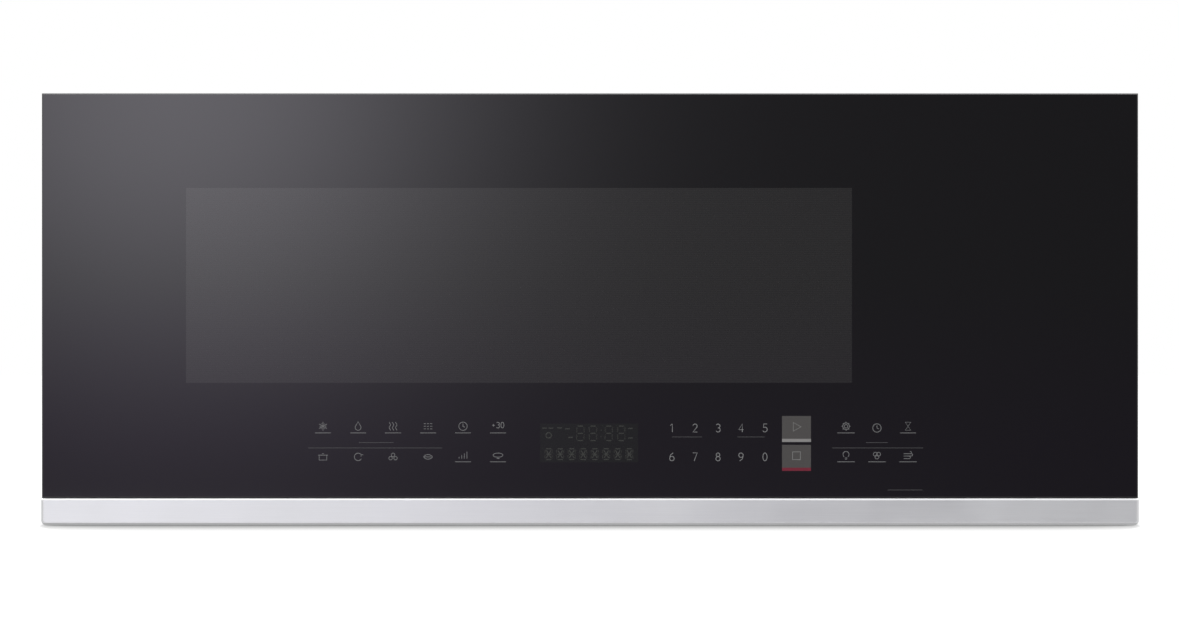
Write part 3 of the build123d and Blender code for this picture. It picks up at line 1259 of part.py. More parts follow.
def blower_housing():
    """The twin scroll behind the cavity, open upwards into the exhaust opening."""
    half = DUCT_WIDTH / 2
    radius = DUCT_LENGTH / 2
    wall = BLOWER_WALL
    housing = along_x(blower_section(radius + wall), about(0, 2 * (half + wall)))
    housing -= along_x(blower_section(radius), about(0, 2 * half))
    # the tongue that parts the outlet from each wheel
    tongue = Polygon((DUCT_Y[0], BLOWER_AXIS_HEIGHT + TONGUE_LOW),
                     (DUCT_Y[0], BLOWER_AXIS_HEIGHT + TONGUE_HIGH),
                     (DUCT_Y[0] + TONGUE_REACH, BLOWER_AXIS_HEIGHT + TONGUE_TIP), align=None)
    for side in (-1, 1):
        partition = sorted((side * BLOWER_PARTITION, side * (BLOWER_PARTITION + wall)))
        housing += along_x(blower_section(radius), partition)
        housing += along_x(tongue, sorted((side * BLOWER_PARTITION, side * half)))
        inlets = sorted((side * (BLOWER_PARTITION - 1), side * (half + wall + 1)))
        housing -= sided_x(inlets, BLOWER_Y, BLOWER_AXIS_HEIGHT, INLET_RADIUS, MANY_SIDES)
    # flanges fasten the housing under the top plate
    for y in (DUCT_Y[0] - wall - SHEET / 2, DUCT_Y[1] + wall + SHEET / 2):
        housing += block((-half, half), about(y, SHEET), (INNER_TOP - 2 * SHEET, INNER_TOP))
    return housing


def blower_motor():
    """The motor between the two wheels, carried on a bar at each end."""
    length = about(0, BLOWER_MOTOR_LENGTH)
    body = sided_x(length, BLOWER_Y, BLOWER_AXIS_HEIGHT, BLOWER_MOTOR_RADIUS, MANY_SIDES)
    for side in (-1, 1):
        end = side * BLOWER_MOTOR_LENGTH / 2
        bar = sorted((end, end + side * MOTOR_BAR_THICKNESS))
        body += block(bar, DUCT_Y, (BLOWER_AXIS_HEIGHT, BLOWER_AXIS_HEIGHT + MOTOR_BAR))
    bore = grown(length, MOTOR_BAR_THICKNESS)
    return body - sided_x(bore, BLOWER_Y, BLOWER_AXIS_HEIGHT, BLOWER_SHAFT + RUN_GAP, FEW_SIDES,
                          bore=True)


def wheel_span(side):
    """Where a wheel lies along the shaft."""
    outer = DUCT_WIDTH / 2 - WHEEL_END_GAP
    return sorted((side * outer, side * (outer - WHEEL_LENGTH)))


def blower_shaft():
    """The shaft through the motor and both wheels."""
    return rod_x(about(0, DUCT_WIDTH - WHEEL_END_GAP), BLOWER_Y, BLOWER_AXIS_HEIGHT, BLOWER_SHAFT)


def on_circle(radius, angle):
    """The point at a radius and an angle in degrees, as a pair."""
    return (radius * cos(radians(angle)), radius * sin(radians(angle)))


def blower_wheel(side):
    """A squirrel-cage wheel: blades that lean ahead, between a disc at the motor's end and a ring."""
    span = wheel_span(side)
    near, far = (span[0], span[1]) if side > 0 else (span[1], span[0])
    disc = sorted((near, near + side * WHEEL_DISC))
    hub = sorted((near, near + side * WHEEL_HUB_LENGTH))
    end = sorted((far - side * WHEEL_RING, far))
    inner = WHEEL_RADIUS - BLADE_DEPTH
    wheel = sided_x(disc, 0, 0, WHEEL_RADIUS, WHEEL_BLADES)
    wheel += sided_x(hub, 0, 0, WHEEL_HUB, FEW_SIDES)
    wheel += sided_x(end, 0, 0, WHEEL_RADIUS, WHEEL_BLADES) - sided_x(end, 0, 0, inner, WHEEL_BLADES)
    root = on_circle(inner + BLADE_THICKNESS, 0)
    tip = on_circle(WHEEL_RADIUS - BLADE_THICKNESS, BLADE_LEAN)
    outline = Polygon(root, tip, (tip[0], tip[1] + BLADE_THICKNESS),
                      (root[0], root[1] + BLADE_THICKNESS), align=None)
    blade = along_x(outline, (disc[1], end[0]) if side > 0 else (end[1], disc[0]))
    for index in range(WHEEL_BLADES):
        wheel += Rot(index * 360 / WHEEL_BLADES, 0, 0) * blade
    wheel -= sided_x(span, 0, 0, BLOWER_SHAFT + RUN_GAP, FEW_SIDES, bore=True)
    return Pos(0, BLOWER_Y, BLOWER_AXIS_HEIGHT) * wheel


# ---------------------------------------------------------------------------------------
# Machine bay
# ---------------------------------------------------------------------------------------

def waveguide():
    """The sheet channel that leads the microwaves to the cavity's right wall."""
    x = (BAY_X[0], BAY_X[0] + WAVEGUIDE_DEPTH)
    y = (CASE_FRONT + WAVEGUIDE_FROM_FRONT, CASE_FRONT + WAVEGUIDE_FROM_FRONT + WAVEGUIDE_LENGTH)
    z = (WAVEGUIDE_BOTTOM, WAVEGUIDE_BOTTOM + WAVEGUIDE_HEIGHT)
    box = block(x, y, z) - block((x[0] - 1, x[1] - SHEET), grown(y, -SHEET), grown(z, -SHEET))
    hole = (x[1] - 2 * SHEET, x[1] + SHEET)
    return box - sided_x(hole, MAGNETRON_Y, WAVEGUIDE_Z_MIDDLE, ANTENNA_RADIUS + 1, MANY_SIDES)


def magnetron():
    """The magnetron: antenna, yoke, finned anode, two ring magnets and its filter box."""
    start = BAY_X[0] + WAVEGUIDE_DEPTH
    length = (start, start + MAGNETRON_LENGTH)
    y = about(MAGNETRON_Y, MAGNETRON_WIDTH)
    z = about(WAVEGUIDE_Z_MIDDLE, MAGNETRON_HEIGHT)
    wall = MAGNETRON_PLATE
    body = block(length, y, z) - block(grown(length, -wall), grown(y, 1), grown(z, -wall))
    for near in (length[0] + wall, length[1] - wall - MAGNET_HEIGHT):
        body += sided_x((near, near + MAGNET_HEIGHT), MAGNETRON_Y, WAVEGUIDE_Z_MIDDLE,
                        MAGNET_RADIUS, MANY_SIDES)
    stack = grown(length, -wall - MAGNET_HEIGHT)
    body += block(stack, about(MAGNETRON_Y, ANODE_WIDTH), grown(z, -wall))
    pitch = (stack[1] - stack[0]) / FINS
    for index in range(FINS):
        x = about(stack[0] + (index + 0.5) * pitch, FIN_THICKNESS)
        body += block(x, grown(y, -FIN_INSET), grown(z, -wall))
    body += sided_x((start - ANTENNA_LENGTH, start), MAGNETRON_Y, WAVEGUIDE_Z_MIDDLE,
                    ANTENNA_RADIUS, MANY_SIDES)
    return body + block(grown(length, -FILTER_BOX_INSET), grown(y, -FILTER_BOX_INSET),
                        (z[0] - FILTER_BOX_HEIGHT, z[0]))


def fan_shroud():
    """The plate that parts the bay, with the fan's collar and three arms for its motor."""
    y = (-FAN_FROM_WALL - SHROUD_WALL, -FAN_FROM_WALL)
    z = about(FAN_Z, SHROUD_HEIGHT)
    hole = FAN_RADIUS + FAN_TIP_GAP
    plate = block((BAY_X[0], BAY_X[1] - SHROUD_SIDE_GAP), y, z)
    plate += block((BAY_X[0], BAY_X[0] + SHROUD_WALL), (y[0], y[1] + SHROUD_COLLAR), z)
    collar = (y[0], y[1] + SHROUD_COLLAR)
    plate += sided_y(FAN_X, collar, FAN_Z, hole + SHROUD_WALL, MANY_SIDES)
    plate -= sided_y(FAN_X, collar, FAN_Z, hole, MANY_SIDES)
    arm_y = (y[1] + SHROUD_COLLAR - SHROUD_WALL, y[1] + SHROUD_COLLAR)
    for index in range(3):
        arm = block((0, hole + SHROUD_WALL / 2), arm_y, about(0, FAN_ARM))
        plate += Pos(FAN_X, 0, FAN_Z) * Rot(0, 90 + index * 120, 0) * arm
    return plate - sided_y(FAN_X, arm_y, FAN_Z, FAN_SHAFT + MOVE_GAP, FEW_SIDES, bore=True)


def fan_motor():
    """The cooling fan's shaded-pole motor: a stack of sheets, its coil and a bearing cap."""
    start = -FAN_FROM_WALL + SHROUD_COLLAR
    stack = (start, start + FAN_MOTOR_LENGTH)
    body = block(about(FAN_X, FAN_MOTOR_WIDTH), stack, about(FAN_Z, FAN_MOTOR_HEIGHT))
    coil_z = (FAN_Z - FAN_MOTOR_HEIGHT / 2, FAN_Z - FAN_MOTOR_HEIGHT / 2 + FAN_COIL_HEIGHT)
    body += block(about(FAN_X, FAN_COIL_WIDTH), (stack[0], stack[1] + FAN_COIL_PROUD), coil_z)
    body += sided_y(FAN_X, (stack[1], stack[1] + FAN_BEARING_LENGTH),
                    FAN_Z + FAN_BEARING_RADIUS / 2, FAN_BEARING_RADIUS, MANY_SIDES)
    return body - sided_y(FAN_X, stack, FAN_Z, FAN_SHAFT + RUN_GAP, FEW_SIDES, bore=True)


def fan_blade():
    """The cooling fan's shaft, hub and pitched blades, which widen towards their tips."""
    hub_y = (-FAN_FROM_WALL - SHROUD_WALL - 2, -FAN_FROM_WALL + SHROUD_COLLAR / 2)
    fan = sided_y(0, hub_y, 0, FAN_HUB, MANY_SIDES)
    shaft_end = -FAN_FROM_WALL + SHROUD_COLLAR + FAN_MOTOR_LENGTH / 2
    fan += rod_y(0, (hub_y[1], shaft_end), 0, FAN_SHAFT)
    half = FAN_BLADE_WIDTH / 2
    outline = Polygon((FAN_BLADE_ROOT, -half / 2), (FAN_RADIUS - half, -half),
                      (FAN_RADIUS - half / 3, -half * 2 / 3), (FAN_RADIUS - FAN_TIP_GAP, 0),
                      (FAN_RADIUS - half / 2, half), (FAN_BLADE_ROOT, half / 2), align=None)
    blade = Rot(90 - FAN_BLADE_PITCH, 0, 0) * extrude(outline, FAN_BLADE_THICKNESS / 2, both=True)
    for index in range(FAN_BLADES):
        fan += Pos(0, middle(hub_y), 0) * Rot(0, index * 360 / FAN_BLADES, 0) * blade
    return Pos(FAN_X, 0, FAN_Z) * fan


def posts(points, z):
    """Square posts between two heights, each around a point."""
    return [block(about(x, POST_WIDTH), about(y, POST_WIDTH), z) for x, y in points]


def inverter_board():
    """The high-voltage supply on the base: board, transformer, heat sink and capacitors."""
    x = grown(BAY_X, -INVERTER_SIDE_GAP)
    y = (CASE_FRONT + INVERTER_FROM_FRONT, CASE_FRONT + INVERTER_FROM_FRONT + INVERTER_LENGTH)
    z = (SHEET + BOARD_STANDOFF, SHEET + BOARD_STANDOFF + BOARD_THICKNESS)
    board = block(x, y, z)
    for post in posts([(a, b) for a in grown(x, -POST_INSET) for b in grown(y, -POST_INSET)],
                      (SHEET, z[0])):
        board += post
    # the transformer: a core with two windows
    core_x = (x[0] + TRANSFORMER_INSET, x[0] + TRANSFORMER_INSET + TRANSFORMER_WIDTH)
    core_y = (y[0] + TRANSFORMER_INSET, y[0] + TRANSFORMER_INSET + TRANSFORMER_LENGTH)
    core_z = (z[1], z[1] + TRANSFORMER_HEIGHT)
    core = block(core_x, core_y, core_z)
    for side in (-1, 1):
        window_y = about(middle(core_y) + side * TRANSFORMER_LENGTH / 4, TRANSFORMER_WINDOW)
        core -= block(grown(core_x, 1), window_y, grown(core_z, -TRANSFORMER_YOKE))
    board += core
    sink_x = (x[1] - SINK_INSET - SINK_WIDTH, x[1] - SINK_INSET)
    sink_y = (y[0] + TRANSFORMER_INSET, y[0] + TRANSFORMER_INSET + SINK_LENGTH)
    board += block(sink_x, sink_y, (z[1], z[1] + SINK_BASE))
    pitch = (SINK_WIDTH - SINK_FIN) / (SINK_FINS - 1)
    for index in range(SINK_FINS):
        fin_x = (sink_x[0] + index * pitch, sink_x[0] + index * pitch + SINK_FIN)
        board += block(fin_x, sink_y, (z[1] + SINK_BASE, z[1] + SINK_HEIGHT))
    row_y = (y[1] - TRANSFORMER_INSET - CAPACITOR_LENGTH, y[1] - TRANSFORMER_INSET)
    for index in range(CAPACITORS):
        near = x[0] + TRANSFORMER_INSET + index * CAPACITOR_PITCH
        board += block((near, near + CAPACITOR_WIDTH), row_y, (z[1], z[1] + CAPACITOR_HEIGHT))
    return board


def main_board():
    """The relay and power board on the right side panel, behind the fan."""
    x = (INNER_HALF - MAIN_BOARD_GAP - BOARD_THICKNESS, INNER_HALF - MAIN_BOARD_GAP)
    y = (-MAIN_BOARD_FROM_WALL - MAIN_BOARD_LENGTH, -MAIN_BOARD_FROM_WALL)
    z = (MAIN_BOARD_BOTTOM, MAIN_BOARD_BOTTOM + MAIN_BOARD_HEIGHT)
    board = block(x, y, z)
    for corner_y in grown(y, -POST_INSET):
        for corner_z in grown(z, -POST_INSET):
            board += block((x[1], INNER_HALF), about(corner_y, POST_WIDTH),
                           about(corner_z, POST_WIDTH))
    relay_y = (y[1] - POST_INSET - 2 * RELAY_WIDTH, y[1] - POST_INSET - RELAY_WIDTH)
    for index in range(RELAYS):
        relay_z = about(z[0] + (index + 0.8) * RELAY_PITCH, RELAY_HEIGHT)
        board += block((x[0] - RELAY_DEPTH, x[0]), relay_y, relay_z)
    part_y = y[0] + 2 * POST_INSET
    coil_z = (z[0] + 3 * POST_INSET, z[0] + 3 * POST_INSET + MAINS_COIL_HEIGHT)
    board += block((x[0] - MAINS_COIL_DEPTH, x[0]), (part_y, part_y + MAINS_COIL_LENGTH), coil_z)
    plug_z = (z[1] - 2 * POST_INSET - PLUG_ROW_HEIGHT, z[1] - 2 * POST_INSET)
    return board + block((x[0] - PLUG_ROW_DEPTH, x[0]), (part_y, part_y + PLUG_ROW_LENGTH), plug_z)


def noise_filter():
    """The mains filter that hangs under the top plate beside the cord."""
    x = (BAY_X[0] + NOISE_FROM_BAY, BAY_X[0] + NOISE_FROM_BAY + NOISE_WIDTH)
    y = (-NOISE_FROM_WALL - NOISE_LENGTH, -NOISE_FROM_WALL)
    z = (INNER_TOP - NOISE_GAP - BOARD_THICKNESS, INNER_TOP - NOISE_GAP)
    board = block(x, y, z)
    for post in posts([(a, b) for a in grown(x, -POST_INSET) for b in grown(y, -POST_INSET)],
                      (z[1], INNER_TOP)):
        board += post
    low = z[0] - CHOKE_COIL_HEIGHT
    board += sided_z(middle(x), y[0] + POST_INSET + CHOKE_COIL, (low, z[0]), CHOKE_COIL, MANY_SIDES)
    return board + block(about(middle(x), CAPACITOR_LENGTH),
                         (y[1] - POST_INSET - CAPACITOR_WIDTH, y[1] - POST_INSET), (low, z[0]))


# ---------------------------------------------------------------------------------------
# The pieces and their files
# ---------------------------------------------------------------------------------------

def door_fasteners():
    """The trim's screws, with their shanks up into the door frame."""
    return all_of(sheet_screw(place, TRIM_SCREW_LENGTH) for place in door_screws())


def drilled_for_door_screws(piece):
    """A door piece with the holes that the trim's screws pass through."""
    for place in door_screws():
        piece -= screw_hole(place, 2 * TRIM_SCREW_LENGTH)
    return piece


def pieces():
    """Every piece of the oven by name."""
    found = {
        "top_plate": top_plate(),
        "base_plate": base_plate(),
        "back_panel": back_panel(),
        "left_side_panel": side_panel(-1),
        "right_side_panel": side_panel(1),
        "front_plate": front_plate(),
        "exhaust_grille": exhaust_grille(),
        "charcoal_filter": charcoal_filter(),
        "weld_nuts": weld_nuts(),
        "cord_bushing": cord_bushing(),
        "casing_screws": casing_screws(),
        "lower_hinge_bracket": hinge_bracket(lower_tab_z(), True),
        "upper_hinge_bracket": hinge_bracket(upper_tab_z(), False),
        "cavity_floor": cavity_floor(),
        "cavity_ceiling": cavity_ceiling(),
        "cavity_left_wall": cavity_left_wall(),
        "cavity_right_wall": cavity_right_wall(),
        "cavity_rear_wall": cavity_rear_wall(),
        "cavity_lamp": cavity_lamp(),
        "waveguide_cover": waveguide_cover(),
        "latch_board": latch_board(),
        "interlock_switches": interlock_switches(),
        "switch_plungers": switch_plungers(),
        "turntable_motor": turntable_motor(),
        "drive_coupler": drive_coupler(),
        "glass_tray": glass_tray(),
        "roller_ring": roller_ring(),
        "cooktop_lamps": cooktop_lamps(),
        "blower_housing": blower_housing(),
        "blower_motor": blower_motor(),
        "blower_shaft": blower_shaft(),
        "left_blower_wheel": blower_wheel(-1),
        "right_blower_wheel": blower_wheel(1),
        "waveguide": waveguide(),
        "magnetron": magnetron(),
        "fan_shroud": fan_shroud(),
        "fan_motor": fan_motor(),
        "fan_blade": fan_blade(),
        "inverter_board": inverter_board(),
        "main_board": main_board(),
        "noise_filter": noise_filter(),
        "door_glass": door_glass(),
        "door_trim": drilled_for_door_screws(door_trim()),
        "door_frame": drilled_for_door_screws(door_frame()),
        "door_screws": door_fasteners(),
        "choke_plate": choke_plate(),
        "choke_cover": choke_cover(),
        "inner_window": inner_window(),
        "touch_board": touch_board(),
        "display_module": display_module(),
        "hinge_bushes": hinge_bushes(),
        "latch_lever": latch_lever(),
        "latch_spring": latch_spring(),
    }
    for number, angle in enumerate(roller_angles(), start=1):
        found[f"roller_{number}"] = roller(angle)
    for name, filter_x, lamp_x in zip(("left", "right"), FILTER_CENTRES, LAMP_CENTRES):
        found[f"{name}_grease_filter"] = grease_filter(filter_x)
        found[f"{name}_lamp_cover"] = lamp_cover(lamp_x)
    return found


os.makedirs("parts", exist_ok=True)
for node, shape in pieces().items():
    export_step(shape, f"parts/{node}.step")
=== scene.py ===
"""Dresses the low-profile over-the-range oven and sets up the studio that it is seen in.

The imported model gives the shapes.  This script gives every node its finish, prints the controls
on the door glass, adds the pieces too fine for the model, and places camera, light and floor.
Sizes are in millimetres unless a name or a docstring says otherwise; the scene is in metres.
"""

from __future__ import annotations

import logging
from dataclasses import dataclass
from enum import Enum
from math import cos, pi, radians, sin, sqrt, tau
from typing import Any, Iterable, Optional, Protocol, Sequence, Union

import bpy
from mathutils import Matrix, Vector

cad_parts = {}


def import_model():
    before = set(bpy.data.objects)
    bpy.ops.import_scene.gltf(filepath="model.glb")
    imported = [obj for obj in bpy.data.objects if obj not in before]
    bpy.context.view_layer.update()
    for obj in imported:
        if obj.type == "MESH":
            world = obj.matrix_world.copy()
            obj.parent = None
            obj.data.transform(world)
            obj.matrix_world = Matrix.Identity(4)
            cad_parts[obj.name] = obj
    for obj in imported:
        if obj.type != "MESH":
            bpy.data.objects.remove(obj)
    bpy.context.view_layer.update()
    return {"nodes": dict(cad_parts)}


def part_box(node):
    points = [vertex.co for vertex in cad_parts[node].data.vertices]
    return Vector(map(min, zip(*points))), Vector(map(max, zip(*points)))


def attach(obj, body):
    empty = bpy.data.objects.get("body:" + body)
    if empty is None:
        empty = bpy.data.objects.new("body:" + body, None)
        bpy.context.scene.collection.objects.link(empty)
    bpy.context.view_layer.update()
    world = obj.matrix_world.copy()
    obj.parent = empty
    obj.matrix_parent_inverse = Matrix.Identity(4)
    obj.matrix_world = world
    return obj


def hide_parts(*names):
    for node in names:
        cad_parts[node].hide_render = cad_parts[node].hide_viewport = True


log = logging.getLogger("oven")

MM = 0.001
Point = tuple[float, float]
Triple = tuple[float, float, float]
Line = list[Point]

EVEN: Triple = (1.0, 1.0, 1.0)
WHITE: Triple = (1.0, 1.0, 1.0)
NOWHERE: Point = (0.0, 0.0)


# ---------------------------------------------------------------------------------------
# Shader maths
# ---------------------------------------------------------------------------------------


class Wire:
    """A value that flows through a node tree, written in Python's own operators."""

    def __init__(self, board: "NodeBoard", socket: bpy.types.NodeSocket) -> None:
        """Keeps the board and the socket that the value comes out of."""
        self.board = board
        self.socket = socket

    def apply(self, operation: str, *others: "Value") -> "Wire":
        """Another value, made from this one and others by a Math node."""
        sockets = dict(enumerate((self, *others)))
        return self.board.wire("ShaderNodeMath", {"operation": operation}, sockets)

    def __add__(self, other: "Value") -> "Wire":
        """This value plus another."""
        return self.apply("ADD", other)

    __radd__ = __add__

    def __sub__(self, other: "Value") -> "Wire":
        """This value less another."""
        return self.apply("SUBTRACT", other)

    def __rsub__(self, other: float) -> "Wire":
        """A number less this value."""
        return self.board.wire("ShaderNodeMath", {"operation": "SUBTRACT"}, {0: other, 1: self})

    def __mul__(self, other: "Value") -> "Wire":
        """This value times another."""
        return self.apply("MULTIPLY", other)

    __rmul__ = __mul__

    def __truediv__(self, other: "Value") -> "Wire":
        """This value over another."""
        return self.apply("DIVIDE", other)

    def __pow__(self, power: "Value") -> "Wire":
        """This value to a power."""
        return self.apply("POWER", power)

    def above(self, limit: float) -> "Wire":
        """1 where the value, in metres, is more than a limit in millimetres, and 0 elsewhere."""
        return self.apply("GREATER_THAN", limit * MM)

    def below(self, limit: float) -> "Wire":
        """1 where the value, in metres, is less than a limit in millimetres, and 0 elsewhere."""
        return self.apply("LESS_THAN", limit * MM)

    def within(self, span: Point) -> "Wire":
        """1 where the value, in metres, lies within a span in millimetres, and 0 elsewhere."""
        return self.above(span[0]) * self.below(span[1])

    def clamped(self) -> "Wire":
        """The value kept between 0 and 1."""
        return self.apply("MAXIMUM", 0.0).apply("MINIMUM", 1.0)

    def bell(self, middle: float, width: float) -> "Wire":
        """1 where the value is at the middle, falling off over the width as a bell does."""
        return (((self - middle) / width) ** 2.0 * -0.5).apply("EXPONENT")

    def wave(self, period: float) -> "Wire":
        """A sine of this length as the value is, from 0 to 1."""
        return (self * (tau / period)).apply("SINE") * 0.5 + 0.5


Value = Union[Wire, float, Sequence[float]]


class NodeBoard:
    """The node tree of one material or of the world."""

    def __init__(self, tree: bpy.types.NodeTree) -> None:
        """Empties the tree.

        Args:
            tree: the node tree to draw on.
        """
        tree.nodes.clear()
        self.tree = tree

    def node(self, kind: str, settings: Optional[dict[str, Any]] = None,
             sockets: Optional[dict[Any, Value]] = None) -> bpy.types.Node:
        """Adds a node.

        Args:
            kind: the node's type.
            settings: its own settings.
            sockets: what goes into its sockets, by name or number.

        Returns:
            The node.
        """
        made = self.tree.nodes.new(kind)
        for key, value in (settings or {}).items():
            setattr(made, key, value)
        for key, value in (sockets or {}).items():
            if isinstance(value, Wire):
                self.tree.links.new(value.socket, made.inputs[key])
            else:
                made.inputs[key].default_value = value
        return made

    def wire(self, kind: str, settings: Optional[dict[str, Any]] = None,
             sockets: Optional[dict[Any, Value]] = None, output: Any = 0) -> Wire:
        """Adds a node and returns what comes out of one of its sockets."""
        return Wire(self, self.node(kind, settings, sockets).outputs[output])

    def place(self, stretch: Triple = EVEN) -> Wire:
        """The point on the object, in metres, with its axes scaled by the stretch."""
        point = self.wire("ShaderNodeTexCoord", output="Object")
        return self.wire("ShaderNodeMapping", None, {"Vector": point, "Scale": stretch})

    def axes(self) -> tuple[Wire, Wire, Wire]:
        """The X, Y and Z of the point on the object, in metres."""
        split = self.node("ShaderNodeSeparateXYZ", None, {0: self.place()})
        return tuple(Wire(self, output) for output in split.outputs)

    def rays(self, *kinds: str) -> list[Wire]:
        """For each kind of ray, such as "Camera", 1 where it is what looks at the surface."""
        path = self.node("ShaderNodeLightPath")
        return [Wire(self, path.outputs[f"Is {kind} Ray"]) for kind in kinds]

    def noise(self, size: float, detail: float = 2.0, stretch: Triple = EVEN) -> Wire:
        """Cloudy noise from 0 to 1, whose lumps are about this many millimetres."""
        return self.wire("ShaderNodeTexNoise", None, {
            "Vector": self.place(stretch), "Scale": 1.0 / (size * MM), "Detail": detail})

    def crystals(self, size: float, output: str) -> Wire:
        """Cells of about this many millimetres, as a distance or a colour."""
        return self.wire("ShaderNodeTexVoronoi", None, {
            "Vector": self.place(), "Scale": 1.0 / (size * MM)}, output)

    def blend(self, share: Value, first: Value, second: Value) -> Wire:
        """A colour between two colours."""
        return self.wire("ShaderNodeMix", {"data_type": "RGBA"}, {0: share, 6: first, 7: second}, 2)

    def bump(self, height: Value, depth: float) -> Wire:
        """A surface normal from a height between 0 and 1, over a depth in millimetres."""
        return self.wire("ShaderNodeBump", None, {"Height": height, "Distance": depth * MM,
                                                  "Strength": 1.0})

    def principled(self, **sockets: Value) -> Wire:
        """A surface; socket names are written with underscores for spaces."""
        named = {key.replace("_", " "): value for key, value in sockets.items()}
        return self.wire("ShaderNodeBsdfPrincipled", None, named)

    def diffuse(self, grey: float) -> Wire:
        """A matt surface of one grey."""
        return self.wire("ShaderNodeBsdfDiffuse", None, {0: rgba((grey, grey, grey))})

    def emission(self, colour: Value, strength: Value) -> Wire:
        """A surface that shines by itself."""
        return self.wire("ShaderNodeEmission", None, {0: colour, 1: strength})

    def hollow(self) -> Wire:
        """A surface that isn't there."""
        return self.wire("ShaderNodeBsdfTransparent")

    def mixed(self, share: Value, first: Wire, second: Wire) -> Wire:
        """A surface between two surfaces."""
        return self.wire("ShaderNodeMixShader", None, {0: share, 1: first, 2: second})

    def surface(self, shader: Wire) -> None:
        """Makes the shader what the material shows."""
        self.node("ShaderNodeOutputMaterial", None, {"Surface": shader})


def material_board(name: str) -> tuple[bpy.types.Material, NodeBoard]:
    """Makes a new material.

    Args:
        name: the material's name.

    Returns:
        The material and the board to draw it on.
    """
    material = bpy.data.materials.new(name)
    material.use_nodes = True
    return material, NodeBoard(material.node_tree)


def rgba(colour: Sequence[float], share: float = 1.0) -> tuple[float, float, float, float]:
    """A colour times a share, with full alpha."""
    return (colour[0] * share, colour[1] * share, colour[2] * share, 1.0)


# ---------------------------------------------------------------------------------------
# Finishes
# ---------------------------------------------------------------------------------------


class Look(Protocol):
    """What a node or a piece can be dressed in."""

    def material(self) -> bpy.types.Material:
        """Draws the look as a material."""


@dataclass(frozen=True)
class Texture:
    """How large a grain is, how deep, how far it shades the colour, and how fine and drawn out."""

    size: float
    depth: float
    shading: float
    detail: float = 2.0
    stretch: Triple = EVEN


class Grain(Enum):
    """How a finish varies over its surface."""

    PAINTED = Texture(1.4, 0.03, 0.10)  # orange peel of a powder coat
    ENAMELLED = Texture(0.9, 0.008, 0.12, 4.0)  # smooth, with fine specks
    MOULDED = Texture(0.5, 0.02, 0.15, 3.0)  # fine texture of a mould
    BRUSHED = Texture(0.45, 0.004, 0.10, 4.0, (0.012, 1.0, 1.0))  # lines along X
    ROLLED = Texture(0.6, 0.004, 0.08, 3.0, (0.05, 1.0, 1.0))  # shorter and fainter lines
    SPANGLED = Texture(1 / (110.0 * MM), 0.0, 0.22)  # zinc crystals
    GRANULAR = Texture(1 / (420.0 * MM), 0.9, 0.9)  # coarse grains
    LAMINATED = Texture(0.6, 0.08, 0.25)  # thin sheets stacked along Y
    RIDGED = Texture(2.4, 0.35, 0.05)  # ridges of a lens, side by side along X

    def height(self, board: NodeBoard) -> Wire:
        """Draws the grain.

        Args:
            board: the material's board.

        Returns:
            The height of the surface, from 0 to 1.
        """
        texture = self.value
        if self is Grain.SPANGLED:
            tones = board.crystals(texture.size, "Color")
            return board.wire("ShaderNodeSeparateColor", None, {0: tones})
        if self is Grain.GRANULAR:
            return board.crystals(texture.size, "Distance")
        if self is Grain.LAMINATED:
            return board.axes()[1].wave(texture.size * MM)
        if self is Grain.RIDGED:
            return board.axes()[0].wave(texture.size * MM)
        return board.noise(texture.size, texture.detail, texture.stretch)


@dataclass(frozen=True)
class Finish:
    """A finish that needs only a colour, a gloss and a grain, and that has smudges on it."""

    name: str
    colour: Triple
    roughness: float
    grain: Grain
    metallic: float = 0.0
    coat: float = 0.0
    see_through: float = 0.0
    smudge_size: float = 60.0
    smudge_shading: float = 0.12
    smudge_dulling: float = 0.16
    grain_dulling: float = 0.06
    darkest: float = 0.5
    lightest: float = 1.5

    def shade(self, board: NodeBoard) -> Value:
        """How much lighter than its colour the finish is, place by place, as painted highlight or
        painted shade; none here.
        """
        return 0.0

    def material(self) -> bpy.types.Material:
        """Draws the finish as a material.

        Returns:
            The material.
        """
        material, board = material_board(self.name)
        texture, height = self.grain.value, self.grain.height(board)
        lump, smudge = height - 0.5, board.noise(self.smudge_size, 3.0) - 0.5
        # the tone takes in any painted highlight or painted shade from shade()
        tone = lump * texture.shading + smudge * self.smudge_shading + self.shade(board) + 0.5
        light = tuple(min(1.0, part * self.lightest) for part in self.colour)
        sockets: dict[str, Value] = {
            "Base_Color": board.blend(tone, rgba(self.colour, self.darkest), rgba(light)),
            "Roughness": smudge * self.smudge_dulling + lump * self.grain_dulling + self.roughness,
            "Metallic": self.metallic, "Coat_Weight": self.coat,
            "Transmission_Weight": self.see_through}
        if texture.depth:
            sockets["Normal"] = board.bump(height, texture.depth)
        board.surface(board.principled(**sockets))
        return material


@dataclass(frozen=True)
class EdgedSteel(Finish):
    """Brushed steel with a painted highlight along its upper bent edge and painted shade along its
    lower one.
    """

    # the painted highlight lies above upper and the painted shade below lower, at these strengths
    upper: float = 17.2
    lower: float = 1.4
    painted_highlight: float = 0.5
    shadow: float = 0.3

    def shade(self, board: NodeBoard) -> Value:
        """Draws the painted highlight and the painted shade along the two edges.

        Args:
            board: the material's board.

        Returns:
            A painted highlight above the upper limit and painted shade below the lower limit.
        """
        z = board.axes()[2]
        # painted highlight along the upper edge, painted shade along the lower edge
        return z.above(self.upper) * self.painted_highlight - z.below(self.lower) * self.shadow


